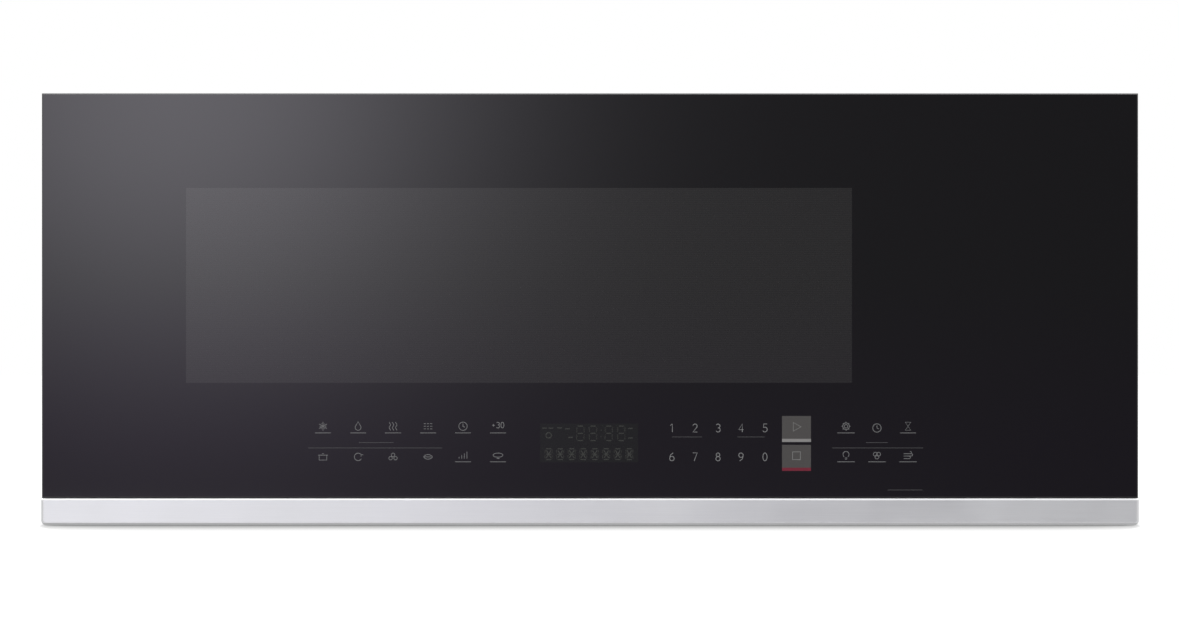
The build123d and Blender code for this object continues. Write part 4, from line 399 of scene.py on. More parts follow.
@dataclass(frozen=True)
class FilterMetal(Finish):
    """Aluminium with painted shade inside the grease filters' frames, where their meshes lie."""

    middles: Point = (-225.0, 127.0)
    half: float = 88.0
    span_y: Point = (-181.0, -71.0)
    top: float = 10.0
    shadow: float = 0.5

    def shade(self, board: NodeBoard) -> Value:
        """Draws the painted shade in the two fields.

        Args:
            board: the material's board.

        Returns:
            A darker tone inside the two frames, as painted shade.
        """
        x, y, z = board.axes()
        left, right = [(x - middle * MM).apply("ABSOLUTE").below(self.half)
                       for middle in self.middles]
        # painted shade behind the mesh, inside each filter's frame
        return (left + right) * y.within(self.span_y) * z.below(self.top) * -self.shadow


@dataclass(frozen=True)
class DoorGlass:
    """The black door glass, with the window's fine screen showing through it."""

    name: str = "door_glass"
    window_x: Point = (-279.6, 181.3)
    window_z: Point = (98.3, 233.2)
    screen_pitch: float = 1.5
    screen_hole: Triple = (0.0135, 0.0132, 0.0132)
    screen_wire: Triple = (0.0182, 0.0176, 0.0174)
    upright_contrast: float = 0.35
    black: Triple = (0.0012, 0.0011, 0.0013)
    roughness: float = 0.03
    haze: float = 0.02
    haze_size: float = 180.0
    ground_z: float = 298.2
    ground: Triple = (0.13, 0.13, 0.135)
    ground_dulling: float = 0.4
    pane_ior: float = 1.5
    window_ior: float = 1.52

    def material(self) -> bpy.types.Material:
        """Draws the glass as a material, with its upper edge ground and not polished.

        Returns:
            The material.
        """
        material, board = material_board(self.name)
        x, _, z = board.axes()
        window = x.within(self.window_x) * z.within(self.window_z)
        period, part = self.screen_pitch * MM, self.upright_contrast
        screen = z.wave(period) * (x.wave(period) * part + (1.0 - part))
        shade = board.blend(screen, rgba(self.screen_hole), rgba(self.screen_wire))
        clean = board.noise(self.haze_size) * self.haze + self.roughness
        edge = z.above(self.ground_z)
        dark = board.blend(edge, rgba(self.black), rgba(self.ground))
        pane = board.principled(Base_Color=dark, Roughness=edge * self.ground_dulling + clean,
                                IOR=self.pane_ior)
        seen = board.principled(Base_Color=shade, Roughness=clean, IOR=self.window_ior)
        board.surface(board.mixed(window, pane, seen))
        return material


@dataclass(frozen=True)
class ClearGlass:
    """Clear or frosted glass with a faint tint."""

    name: str
    tint: Triple
    roughness: float = 0.02
    film: float = 0.04
    film_size: float = 35.0
    deeper: float = 0.96
    deeper_size: float = 90.0
    ior: float = 1.5

    def material(self) -> bpy.types.Material:
        """Draws the glass as a material.

        Returns:
            The material.
        """
        material, board = material_board(self.name)
        film = board.noise(self.film_size) * self.film + self.roughness
        tone = board.blend(board.noise(self.deeper_size), rgba(self.tint),
                           rgba(self.tint, self.deeper))
        board.surface(board.principled(Base_Color=tone, Roughness=film, IOR=self.ior,
                                       Transmission_Weight=1.0))
        return material


@dataclass(frozen=True)
class Perforated:
    """An enamelled sheet with a field of small round holes."""

    name: str
    colour: Triple
    field_x: Point
    field_z: Point
    pitch: float = 2.4
    hole: float = 0.3
    hole_tone: Triple = (0.004, 0.004, 0.004)
    hole_dulling: float = 0.4
    roughness: float = 0.38
    depth: float = 0.4
    speck: float = 0.9
    speck_size: float = 0.9

    def material(self) -> bpy.types.Material:
        """Draws the sheet as a material, with its holes dark and in staggered rows.

        Returns:
            The material.
        """
        material, board = material_board(self.name)
        x, _, z = board.axes()
        pitch = self.pitch * MM
        shift = ((z / pitch).apply("FLOOR") * 0.5).apply("FRACT")
        across = (x / pitch + shift).apply("FRACT") - 0.5
        up = (z / pitch).apply("FRACT") - 0.5
        distance = (across * across + up * up).apply("SQRT")
        holes = (distance.apply("LESS_THAN", self.hole)
                 * x.within(self.field_x) * z.within(self.field_z))
        sheet = board.blend(board.noise(self.speck_size, 4.0), rgba(self.colour, self.speck),
                            rgba(self.colour))
        tone = board.blend(holes, sheet, rgba(self.hole_tone))
        board.surface(board.principled(Base_Color=tone,
                                       Roughness=holes * self.hole_dulling + self.roughness,
                                       Normal=board.bump(1.0 - holes, self.depth)))
        return material


@dataclass(frozen=True)
class CircuitBoard:
    """Solder mask with copper tracks on the board, and dark parts and metal ones built up on it."""

    name: str
    axis: int
    faces: Point
    sink_x: Point = NOWHERE
    sink_y: Point = NOWHERE
    mask: Triple = (0.012, 0.09, 0.04)
    track: Triple = (0.05, 0.2, 0.09)
    stain: Triple = (0.02, 0.05, 0.035)
    part: Triple = (0.045, 0.046, 0.05)
    metal: Triple = (0.5, 0.505, 0.51)
    track_pitch: float = 3.4
    track_level: float = 0.62
    track_depth: float = 0.5
    track_height: float = 0.03
    track_polish: float = 0.1
    waver: float = 0.01
    waver_size: float = 9.0
    stain_size: float = 14.0
    roughness: float = 0.42

    def material(self) -> bpy.types.Material:
        """Draws the board as a material, told from its parts by where its two faces lie.

        Returns:
            The material.
        """
        material, board = material_board(self.name)
        axes = board.axes()
        run = board.noise(self.waver_size) * self.waver + axes[0] + axes[1] + axes[2]
        lane = run.wave(self.track_pitch * MM).apply("GREATER_THAN", self.track_level)
        copper = board.blend(lane * self.track_depth, rgba(self.mask), rgba(self.track))
        mottled = board.blend(board.noise(self.stain_size), copper, rgba(self.stain))
        flat = axes[self.axis].within(self.faces)
        sink = axes[0].within(self.sink_x) * axes[1].within(self.sink_y) * (1.0 - flat)
        built = board.blend(sink, rgba(self.part), rgba(self.metal))
        board.surface(board.principled(Base_Color=board.blend(flat, built, mottled), Metallic=sink,
                                       Roughness=lane * -self.track_polish + self.roughness,
                                       Normal=board.bump(lane * flat, self.track_height)))
        return material


@dataclass(frozen=True)
class Printed:
    """Ink printed on the back of the glass, so it has the glass's own gloss."""

    name: str
    colour: Triple
    dots: float = 0.0
    dot_pitch: float = 0.9
    grain: float = 0.1
    grain_size: float = 0.6
    darker: float = 0.85
    roughness: float = 0.04
    haze: float = 0.02
    haze_size: float = 90.0

    def material(self) -> bpy.types.Material:
        """Draws the ink as a material.

        Returns:
            The material.
        """
        material, board = material_board(self.name)
        x, _, z = board.axes()
        period = self.dot_pitch * MM
        grain = board.noise(self.grain_size) * self.grain
        raster = x.wave(period) * z.wave(period) * self.dots + grain
        tone = board.blend(raster, rgba(self.colour), rgba(self.colour, self.darker))
        film = board.noise(self.haze_size) * self.haze + self.roughness
        board.surface(board.principled(Base_Color=tone, Roughness=film))
        return material


# ---------------------------------------------------------------------------------------
# Modelling with operators
# ---------------------------------------------------------------------------------------


@dataclass
class Workshop:
    """Makes new pieces with Blender's own operators and puts them on the oven.

    A turned piece's points that are closer than a distance are merged, and its faces that meet
    at less than an angle in degrees are shaded smooth.
    """

    merged: float = 0.002
    crease: float = 35.0

    def start(self) -> None:
        """Leaves edit mode and deselects everything."""
        if bpy.context.object and bpy.context.object.mode != "OBJECT":
            bpy.ops.object.mode_set(mode="OBJECT")
        bpy.ops.object.select_all(action="DESELECT")

    def pick(self, *pieces: bpy.types.Object) -> None:
        """Selects pieces and nothing else.

        Args:
            pieces: the pieces, of which the first becomes the active one.
        """
        self.start()
        for piece in pieces:
            piece.select_set(True)
        bpy.context.view_layer.objects.active = pieces[0]

    def settle(self, piece: bpy.types.Object, name: str) -> bpy.types.Object:
        """Names a piece and moves its place into its mesh.

        Args:
            piece: the piece.
            name: its name, which its mesh gets too.

        Returns:
            The piece.
        """
        piece.name = piece.data.name = name
        bpy.context.view_layer.update()
        piece.data.transform(piece.matrix_world)
        piece.matrix_world = Matrix.Identity(4)
        return piece

    def finish(self, piece: bpy.types.Object, material: bpy.types.Material, body: str,
               slot: str) -> None:
        """Dresses a piece and lets it ride on a body.

        Args:
            piece: the finished piece.
            material: what it is dressed in.
            body: the body that it moves with.
            slot: not used.
        """
        piece.data.materials.clear()
        piece.data.materials.append(material)
        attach(piece, body)

    def modify(self, piece: bpy.types.Object, kind: str, **settings: Any) -> None:
        """Adds a modifier to a piece and applies it.

        Args:
            piece: the piece.
            kind: the modifier's type.
            settings: the modifier's own settings.
        """
        self.pick(piece)
        modifier = piece.modifiers.new(kind.lower(), kind)
        for key, value in settings.items():
            setattr(modifier, key, value)
        bpy.ops.object.modifier_apply(modifier=modifier.name)

    def bevel(self, piece: bpy.types.Object, width: float) -> None:
        """Bevels a piece's sharp edges."""
        self.modify(piece, "BEVEL", width=width * MM, segments=2, limit_method="ANGLE")

    def join(self, pieces: Sequence[bpy.types.Object]) -> bpy.types.Object:
        """Joins pieces.

        Args:
            pieces: the pieces.

        Returns:
            The first of them, which holds them all.
        """
        self.pick(*pieces)
        bpy.ops.object.join()
        return pieces[0]

    def copies(self, pattern: bpy.types.Object, places: Iterable[Matrix],
               name: str) -> bpy.types.Object:
        """Copies a piece to each place, each copy with its own mesh, and joins them.

        Args:
            pattern: the piece to copy, which is used up.
            places: where the copies go, in metres.
            name: the joined piece's name.

        Returns:
            The joined piece.
        """
        made = []
        for place in places:
            copy = pattern.copy()
            copy.data = pattern.data.copy()
            copy.data.transform(place)
            bpy.context.scene.collection.objects.link(copy)
            made.append(copy)
        bpy.data.objects.remove(pattern)
        return self.settle(self.join(made), name)

    def strokes(self, name: str, lines: Sequence[Line], width: float, front: float,
                thickness: float = 0.05) -> bpy.types.Object:
        """Draws lines on an upright plane as thin flat bars.

        Args:
            name: the piece's name.
            lines: the lines' points as X and Z.
            width: how wide the lines are.
            front: the Y of the plane.
            thickness: how far the bars stand off the plane.

        Returns:
            The piece.
        """
        curve = bpy.data.curves.new(name, "CURVE")
        curve.dimensions = "3D"
        curve.bevel_depth = width / 2 * MM
        curve.bevel_resolution = 1
        curve.use_fill_caps = True
        for line in lines:
            spline = curve.splines.new("POLY")
            closed = len(line) > 2 and line[0] == line[-1]
            points = line[:-1] if closed else line
            spline.points.add(len(points) - 1)
            for target, (x, z) in zip(spline.points, points):
                target.co = (x * MM, 0.0, z * MM, 1.0)
            spline.use_cyclic_u = closed
        piece = bpy.data.objects.new(name, curve)
        bpy.context.scene.collection.objects.link(piece)
        self.pick(piece)
        bpy.ops.object.convert(target="MESH")
        piece = bpy.context.object
        flat = Matrix.Diagonal((1.0, 2 * thickness / width, 1.0, 1.0))
        piece.data.transform(Matrix.Translation((0.0, front * MM, 0.0)) @ flat)
        return self.settle(piece, name)

    def plate(self, name: str, spans: tuple[Point, Point, Point], bevel: float) -> bpy.types.Object:
        """Makes a plate with bevelled edges.

        Args:
            name: the piece's name.
            spans: where it starts and ends in X, Y and Z.
            bevel: how wide its bevels are.

        Returns:
            The piece.
        """
        self.start()
        middle = [(low + high) / 2 * MM for low, high in spans]
        size = [(high - low) * MM for low, high in spans]
        bpy.ops.mesh.primitive_cube_add(size=1.0, location=middle, scale=size)
        piece = self.settle(bpy.context.object, name)
        self.bevel(piece, bevel)
        return piece

    def lathe(self, name: str, profile: Sequence[Point], steps: int = 96,
              closed: bool = False) -> bpy.types.Object:
        """Turns a profile around Z by drawing a circle out ring by ring.

        Args:
            name: the piece's name.
            profile: the rings' radii and heights.
            steps: how many sides a ring has.
            closed: whether the last ring meets the first, as in a piece with a bore.

        Returns:
            The piece.
        """
        self.start()
        radius, height = profile[0]
        bpy.ops.mesh.primitive_circle_add(vertices=steps, radius=radius * MM, fill_type="NOTHING",
                                          location=(0.0, 0.0, height * MM))
        piece = bpy.context.object
        bpy.ops.object.mode_set(mode="EDIT")
        bpy.ops.mesh.select_all(action="SELECT")
        for next_radius, next_height in list(profile[1:]) + ([profile[0]] if closed else []):
            lift = (0.0, 0.0, (next_height - height) * MM)
            bpy.ops.mesh.extrude_edges_move(TRANSFORM_OT_translate={"value": lift})
            share = next_radius / radius
            bpy.ops.transform.resize(value=(share, share, 1.0))
            radius, height = next_radius, next_height
        bpy.ops.mesh.select_all(action="SELECT")
        bpy.ops.mesh.remove_doubles(threshold=self.merged * MM)
        if not closed:
            bpy.ops.mesh.select_all(action="SELECT")
            bpy.ops.mesh.fill_holes(sides=0)
        bpy.ops.mesh.select_all(action="SELECT")
        bpy.ops.mesh.normals_make_consistent(inside=False)
        bpy.ops.object.mode_set(mode="OBJECT")
        self.settle(piece, name)
        self.pick(piece)
        bpy.ops.object.shade_smooth_by_angle(angle=radians(self.crease))
        return piece


# ---------------------------------------------------------------------------------------
# The studio
# ---------------------------------------------------------------------------------------


@dataclass(frozen=True)
class Lamp:
    """A soft lamp: its power in watts, and its place, width and length in metres."""

    name: str
    power: float
    place: Triple
    size: Point

    def build(self, aim: Vector) -> None:
        """Hangs the lamp.

        Args:
            aim: the point that it shines at, in metres.
        """
        data = bpy.data.lights.new(self.name, "AREA")
        data.shape, data.size, data.size_y = "RECTANGLE", self.size[0], self.size[1]
        data.energy = self.power
        lamp = bpy.data.objects.new(self.name, data)
        lamp.location = self.place
        lamp.rotation_euler = (aim - lamp.location).to_track_quat("-Z", "Y").to_euler()
        bpy.context.scene.collection.objects.link(lamp)


@dataclass
class Floor:
    """A white floor that keeps the oven's shadow, and that can't be seen from below."""

    size: float = 14000.0
    drop: float = 0.2
    grey: float = 0.86
    shown_grey: float = 0.27
    own_light: float = 0.87
    reach: float = 120.0
    contact_half: Point = (261.5, 231.0)
    contact_y: float = -230.0
    contact_power: float = 3.0
    corner_power: float = 16.0

    def contact(self, board: NodeBoard) -> Wire:
        """Draws the contact shadow, which fades out in front and behind and ends at its reach.

        Args:
            board: the floor's board.

        Returns:
            0 where the floor is darkest and 1 where it is clear.
        """
        open_air = board.wire("ShaderNodeAmbientOcclusion", {"samples": 16},
                              {"Distance": self.reach * MM}, "AO")
        x, y, _ = board.axes()
        past = [(offset.apply("ABSOLUTE") - half * MM).apply("MAXIMUM", 0.0) / (self.reach * MM)
                for offset, half in zip((x, y - self.contact_y * MM), self.contact_half)]
        rim = (past[0] * past[0] + past[1] * past[1]) ** self.corner_power
        fade = past[1].apply("MAXIMUM", rim).apply("MINIMUM", 1.0)
        return 1.0 - (1.0 - open_air ** self.contact_power) * (1.0 - fade)

    def build(self, workshop: Workshop) -> None:
        """Lays the floor, which gloss looks through, so that the door mirrors the card.

        Args:
            workshop: where it is made.
        """
        workshop.start()
        bpy.ops.mesh.primitive_plane_add(size=self.size * MM,
                                         location=(0.0, 0.0, -self.drop * MM))
        piece = workshop.settle(bpy.context.object, "floor")
        material, board = material_board("floor")
        light = board.emission(rgba(WHITE), self.contact(board) * self.own_light)
        white = board.wire("ShaderNodeAddShader", None, {
            0: board.diffuse(self.shown_grey), 1: light})
        eye, gloss = board.rays("Camera", "Glossy")
        shown = board.mixed(eye, board.diffuse(self.grey), white)
        below = board.wire("ShaderNodeNewGeometry", output="Backfacing")
        board.surface(board.mixed(gloss.apply("MAXIMUM", below), shown, board.hollow()))
        piece.data.materials.append(material)


@dataclass
class MirrorCard:
    """The card behind the camera that only gloss can see.

    It is bright at its upper left, for the glass, and along its foot, for the steel strip.  Its
    sizes are in metres.
    """

    y: float = -4.2
    z: float = 0.15
    size: Point = (2.4, 1.5)
    base: float = 0.19
    glow: float = 2.74
    glow_centre: Point = (-0.645, 0.506)
    glow_width: Point = (0.305, 0.279)
    side: float = 0.19
    side_x: float = -0.9
    side_width: float = 1.0
    foot: float = 3.45
    foot_x: float = -1.2
    foot_width: float = 0.745
    foot_z: float = -0.16
    tint_z: Point = (-0.05, 0.2)
    lower_tint: Triple = (1.06, 0.93, 1.22)
    upper_tint: Triple = (1.0, 0.965, 1.07)
    foot_tint: Triple = (1.0, 1.005, 1.025)

    def build(self, workshop: Workshop) -> None:
        """Hangs the card.

        Args:
            workshop: where it is made.
        """
        workshop.start()
        bpy.ops.mesh.primitive_plane_add(size=1.0, location=(0.0, self.y, self.z),
                                         rotation=(-pi / 2, 0.0, 0.0))
        piece = workshop.settle(bpy.context.object, "mirror_card")
        stretch = Matrix.Diagonal((self.size[0], 1.0, self.size[1], 1.0))
        lift = Matrix.Translation((0.0, 0.0, self.z))
        piece.data.transform(lift @ stretch @ lift.inverted())
        material, board = material_board("mirror_card")
        x, _, z = board.axes()
        spot = x.bell(self.glow_centre[0], self.glow_width[0]) * z.bell(
            self.glow_centre[1], self.glow_width[1])
        foot = z.apply("LESS_THAN", self.foot_z)
        strength = (spot * self.glow + x.bell(self.side_x, self.side_width) * self.side + self.base
                    + foot * x.bell(self.foot_x, self.foot_width) * self.foot)
        low = ((self.tint_z[1] - z) / (self.tint_z[1] - self.tint_z[0])).clamped()
        above = board.blend(low, rgba(self.upper_tint), rgba(self.lower_tint))
        glow = board.emission(board.blend(foot, above, rgba(self.foot_tint)), strength)
        board.surface(board.mixed(board.rays("Glossy")[0], board.hollow(), glow))
        piece.data.materials.append(material)


@dataclass
class Studio:
    """Camera, sky, lamps, floor and mirror card.

    The lens and the sensor are in millimetres, and the other sizes in metres.
    """

    lens: float = 135.0
    sensor: float = 36.0
    farthest: float = 50.0
    distance: float = 3.06
    eye_x: float = -0.00035
    eye_z: float = 0.146
    face_y: float = -0.46
    sky: float = 0.8
    aim: Triple = (0.0, -0.35, 0.05)
    lamps: tuple[Lamp, ...] = (Lamp("key", 18.0, (-1.6, -2.6, 2.8), (2.4, 1.8)),
                               Lamp("top", 34.0, (0.0, 0.25, 2.9), (2.6, 1.6)))

    def camera(self) -> None:
        """Places the camera straight in front of the door."""
        data = bpy.data.cameras.new("camera")
        data.lens, data.sensor_width = self.lens, self.sensor
        data.clip_end = self.farthest
        camera = bpy.data.objects.new("camera", data)
        camera.location = (self.eye_x, self.face_y - self.distance, self.eye_z)
        camera.rotation_euler = (pi / 2, 0.0, 0.0)
        bpy.context.scene.collection.objects.link(camera)
        bpy.context.scene.camera = camera

    def world(self) -> None:
        """Lights the scene from all round, with white for what the camera, gloss and glass see."""
        world = bpy.data.worlds.new("studio")
        world.use_nodes = True
        bpy.context.scene.world = world
        board = NodeBoard(world.node_tree)
        eye, gloss, through = board.rays("Camera", "Glossy", "Transmission")
        seen = eye.apply("MAXIMUM", gloss).apply("MAXIMUM", through)
        strength = seen * (1.0 - self.sky) + self.sky
        light = board.wire("ShaderNodeBackground", None, {0: rgba(WHITE), 1: strength})
        board.node("ShaderNodeOutputWorld", None, {"Surface": light})

    def build(self, workshop: Workshop) -> None:
        """Sets up the whole studio.

        Args:
            workshop: where the floor and the card are made.
        """
        bpy.context.scene.view_settings.view_transform = "Standard"
        self.camera()
        self.world()
        for lamp in self.lamps:
            lamp.build(Vector(self.aim))
        Floor().build(workshop)
        MirrorCard().build(workshop)
        log.info("studio: camera, two lamps, sky, floor and mirror card")


# ---------------------------------------------------------------------------------------
# The pictures on the touch keys
# ---------------------------------------------------------------------------------------


def arc(centre: Point, radius: float, start: float = 0.0, end: float = 360.0,
        steps: int = 14) -> Line:
    """An arc's points.

    Args:
        centre: the arc's centre.
        radius: its radius.
        start: the angle that it starts at, in degrees.
        end: the angle that it ends at.
        steps: how many straight runs it is drawn with.

    Returns:
        The points; a full circle ends where it started.
    """
    if abs(end - start) >= 360.0:
        turn = [tau * index / steps for index in range(steps)] + [0.0]
    else:
        turn = [radians(start + (end - start) * index / steps) for index in range(steps + 1)]
    return [(centre[0] + radius * cos(angle), centre[1] + radius * sin(angle)) for angle in turn]


def circle(centre: Point, radius: float, steps: int) -> Line:
    """A circle's points."""
    return arc(centre, radius, steps=steps)


def bar(middle: Point, width: float) -> Line:
    """A level line of a width around a point."""
    return [(middle[0] - width / 2, middle[1]), (middle[0] + width / 2, middle[1])]


def rays_of(count: int, inner: float, outer: float, turn: float = 90.0) -> list[Line]:
    """Straight lines that point away from the middle."""
    angles = [radians(turn + 360.0 * index / count) for index in range(count)]
    return [[(inner * cos(a), inner * sin(a)), (outer * cos(a), outer * sin(a))] for a in angles]


def moved(lines: Iterable[Line], x: float, z: float, share: float = 1.0) -> list[Line]:
    """Lines drawn at a share of their size and moved to a place."""
    return [[(x + a * share, z + b * share) for a, b in line] for line in lines]


class Picture(Enum):
    """The plain pictures that stand on the keys, each about 6 mm across."""

    FLAKE = "flake"
    DROP = "drop"
    STEAM = "steam"
    TILES = "tiles"
    CLOCK = "clock"
    POT = "pot"
    AGAIN = "again"
    KERNELS = "kernels"
    LEAF = "leaf"
    LEVELS = "levels"
    PLATTER = "platter"
    WHEEL = "wheel"
    GLASS_TIMER = "glass timer"
    LAMP = "lamp"
    BLADES = "blades"
    GUST = "gust"

    def lines(self) -> list[Line]:
        """Draws the picture.

        Returns:
            The picture's lines around its own middle.
        """
        drawn: dict[Picture, list[Line]] = {
            Picture.FLAKE: rays_of(6, 0.0, 3.1) + rays_of(6, 1.6, 2.2, 60.0),
            Picture.DROP: [arc((0.0, -0.8), 2.0, 155.0, 385.0) + [(0.0, 3.2), (-1.81, 0.05)]],
            Picture.STEAM: [[(x + 0.5 * sin(1.6 * z), z) for z in
                             (-2.8, -2.1, -1.4, -0.7, 0.0, 0.7, 1.4, 2.1, 2.8)]
                            for x in (-2.2, 0.0, 2.2)],
            Picture.TILES: [bar((x, z), 1.4) for x in (-2.2, 0.0, 2.2) for z in (-1.8, 0.0, 1.8)],
            Picture.CLOCK: [circle((0.0, 0.0), 2.9, 20), [(0.0, 1.8), (0.0, 0.0), (1.3, -0.7)]],
            Picture.POT: [[(-2.6, 1.0), (-2.6, -2.2), (2.6, -2.2), (2.6, 1.0)],
                          bar((0.0, 1.2), 6.8), bar((0.0, 2.2), 1.2)],
            Picture.AGAIN: [arc((0.0, 0.0), 2.6, 40.0, 330.0),
                            [(2.0, 0.2), (2.1, 1.8), (3.5, 1.3)]],
            Picture.KERNELS: [circle(middle, 1.2, 12)
                              for middle in ((-1.7, -0.9), (1.7, -0.9), (0.0, 1.4))],
            Picture.LEAF: [arc((0.0, -2.2), 3.8, 35.0, 145.0), arc((0.0, 2.2), 3.8, 215.0, 325.0),
                           [(-3.1, 0.0), (2.0, 0.0)]],
            Picture.LEVELS: [[(x, -2.4), (x, top)] for x, top in
                             ((-2.7, -1.2), (-0.9, 0.0), (0.9, 1.2), (2.7, 2.4))],
            Picture.PLATTER: [[(x, 0.42 * z) for x, z in circle((0.0, 0.0), 3.4, 20)],
                              bar((0.0, -2.3), 2.0), [(0.0, -1.4), (0.0, -2.3)]],
            Picture.WHEEL: [circle((0.0, 0.0), 1.2, 12), circle((0.0, 0.0), 2.3, 20)]
                           + rays_of(8, 2.3, 3.1),
            Picture.GLASS_TIMER: [[(-1.9, 2.8), (1.9, 2.8), (-1.9, -2.8), (1.9, -2.8),
                                   (-1.9, 2.8)]],
            Picture.LAMP: [arc((0.0, 0.5), 2.1, -50.0, 230.0), bar((0.0, -1.9), 1.8),
                           bar((0.0, -2.8), 1.4)],
            Picture.BLADES: [circle((1.3 * cos(a), 1.3 * sin(a)), 1.35, 12)
                             for a in (radians(30.0), radians(150.0), radians(270.0))],
            Picture.GUST: [[(-3.0, z), (length, z)] + arc((length, z + 0.8), 0.8, -90.0, 110.0, 6)
                           for z, length in ((1.0, 1.6), (-0.6, 2.4), (-2.4, 0.9))],
        }
        return drawn[self]


FIGURES: dict[str, list[Line]] = {
    "0": [[(1.45 * x, 2.75 * z) for x, z in circle((0.0, 0.0), 1.0, 20)]],
    "1": [[(-1.1, 1.7), (0.3, 2.8), (0.3, -2.8)]],
    "2": [arc((0.0, 1.3), 1.45, 170.0, -35.0) + [(-1.5, -2.8), (1.6, -2.8)]],
    "3": [arc((0.0, 1.35), 1.35, 150.0, -90.0), arc((0.0, -1.3), 1.5, 90.0, -150.0)],
    "4": [[(1.7, -1.2), (-1.6, -1.2), (0.9, 2.8), (0.9, -2.8)]],
    "5": [[(1.4, 2.8), (-0.9, 2.8), (-1.1, 0.35)] + arc((-0.1, -1.05), 1.65, 118.0, -150.0)],
    "6": [circle((0.0, -1.15), 1.55, 18), [(-1.5, -0.8), (-1.0, 1.3), (0.9, 2.8)]],
    "7": [[(-1.5, 2.8), (1.5, 2.8), (-0.6, -2.8)]],
    "8": [circle((0.0, 1.45), 1.25, 16), circle((0.0, -1.25), 1.5, 18)],
    "9": [circle((0.0, 1.15), 1.55, 18), [(1.5, 0.8), (1.0, -1.3), (-0.9, -2.8)]],
    "+": [[(-1.2, -0.2), (1.2, -0.2)], [(0.0, 1.0), (0.0, -1.4)]],
}
FIGURE_PITCH = 4.3


def figures(marks: str, x: float, z: float, share: float = 1.0) -> list[Line]:
    """A row of figures around a point, each drawn in a box 3.2 mm wide and 5.6 mm tall.

    Args:
        marks: the figures.
        x: the row's middle.
        z: the row's middle.
        share: the figures' size as a share of their full size.

    Returns:
        The row's lines.
    """
    lines: list[Line] = []
    for index, mark in enumerate(marks):
        start = x + (index - (len(marks) - 1) / 2) * FIGURE_PITCH * share
        lines += moved(FIGURES[mark], start, z, share)
    return lines


# ---------------------------------------------------------------------------------------
# The door
# ---------------------------------------------------------------------------------------


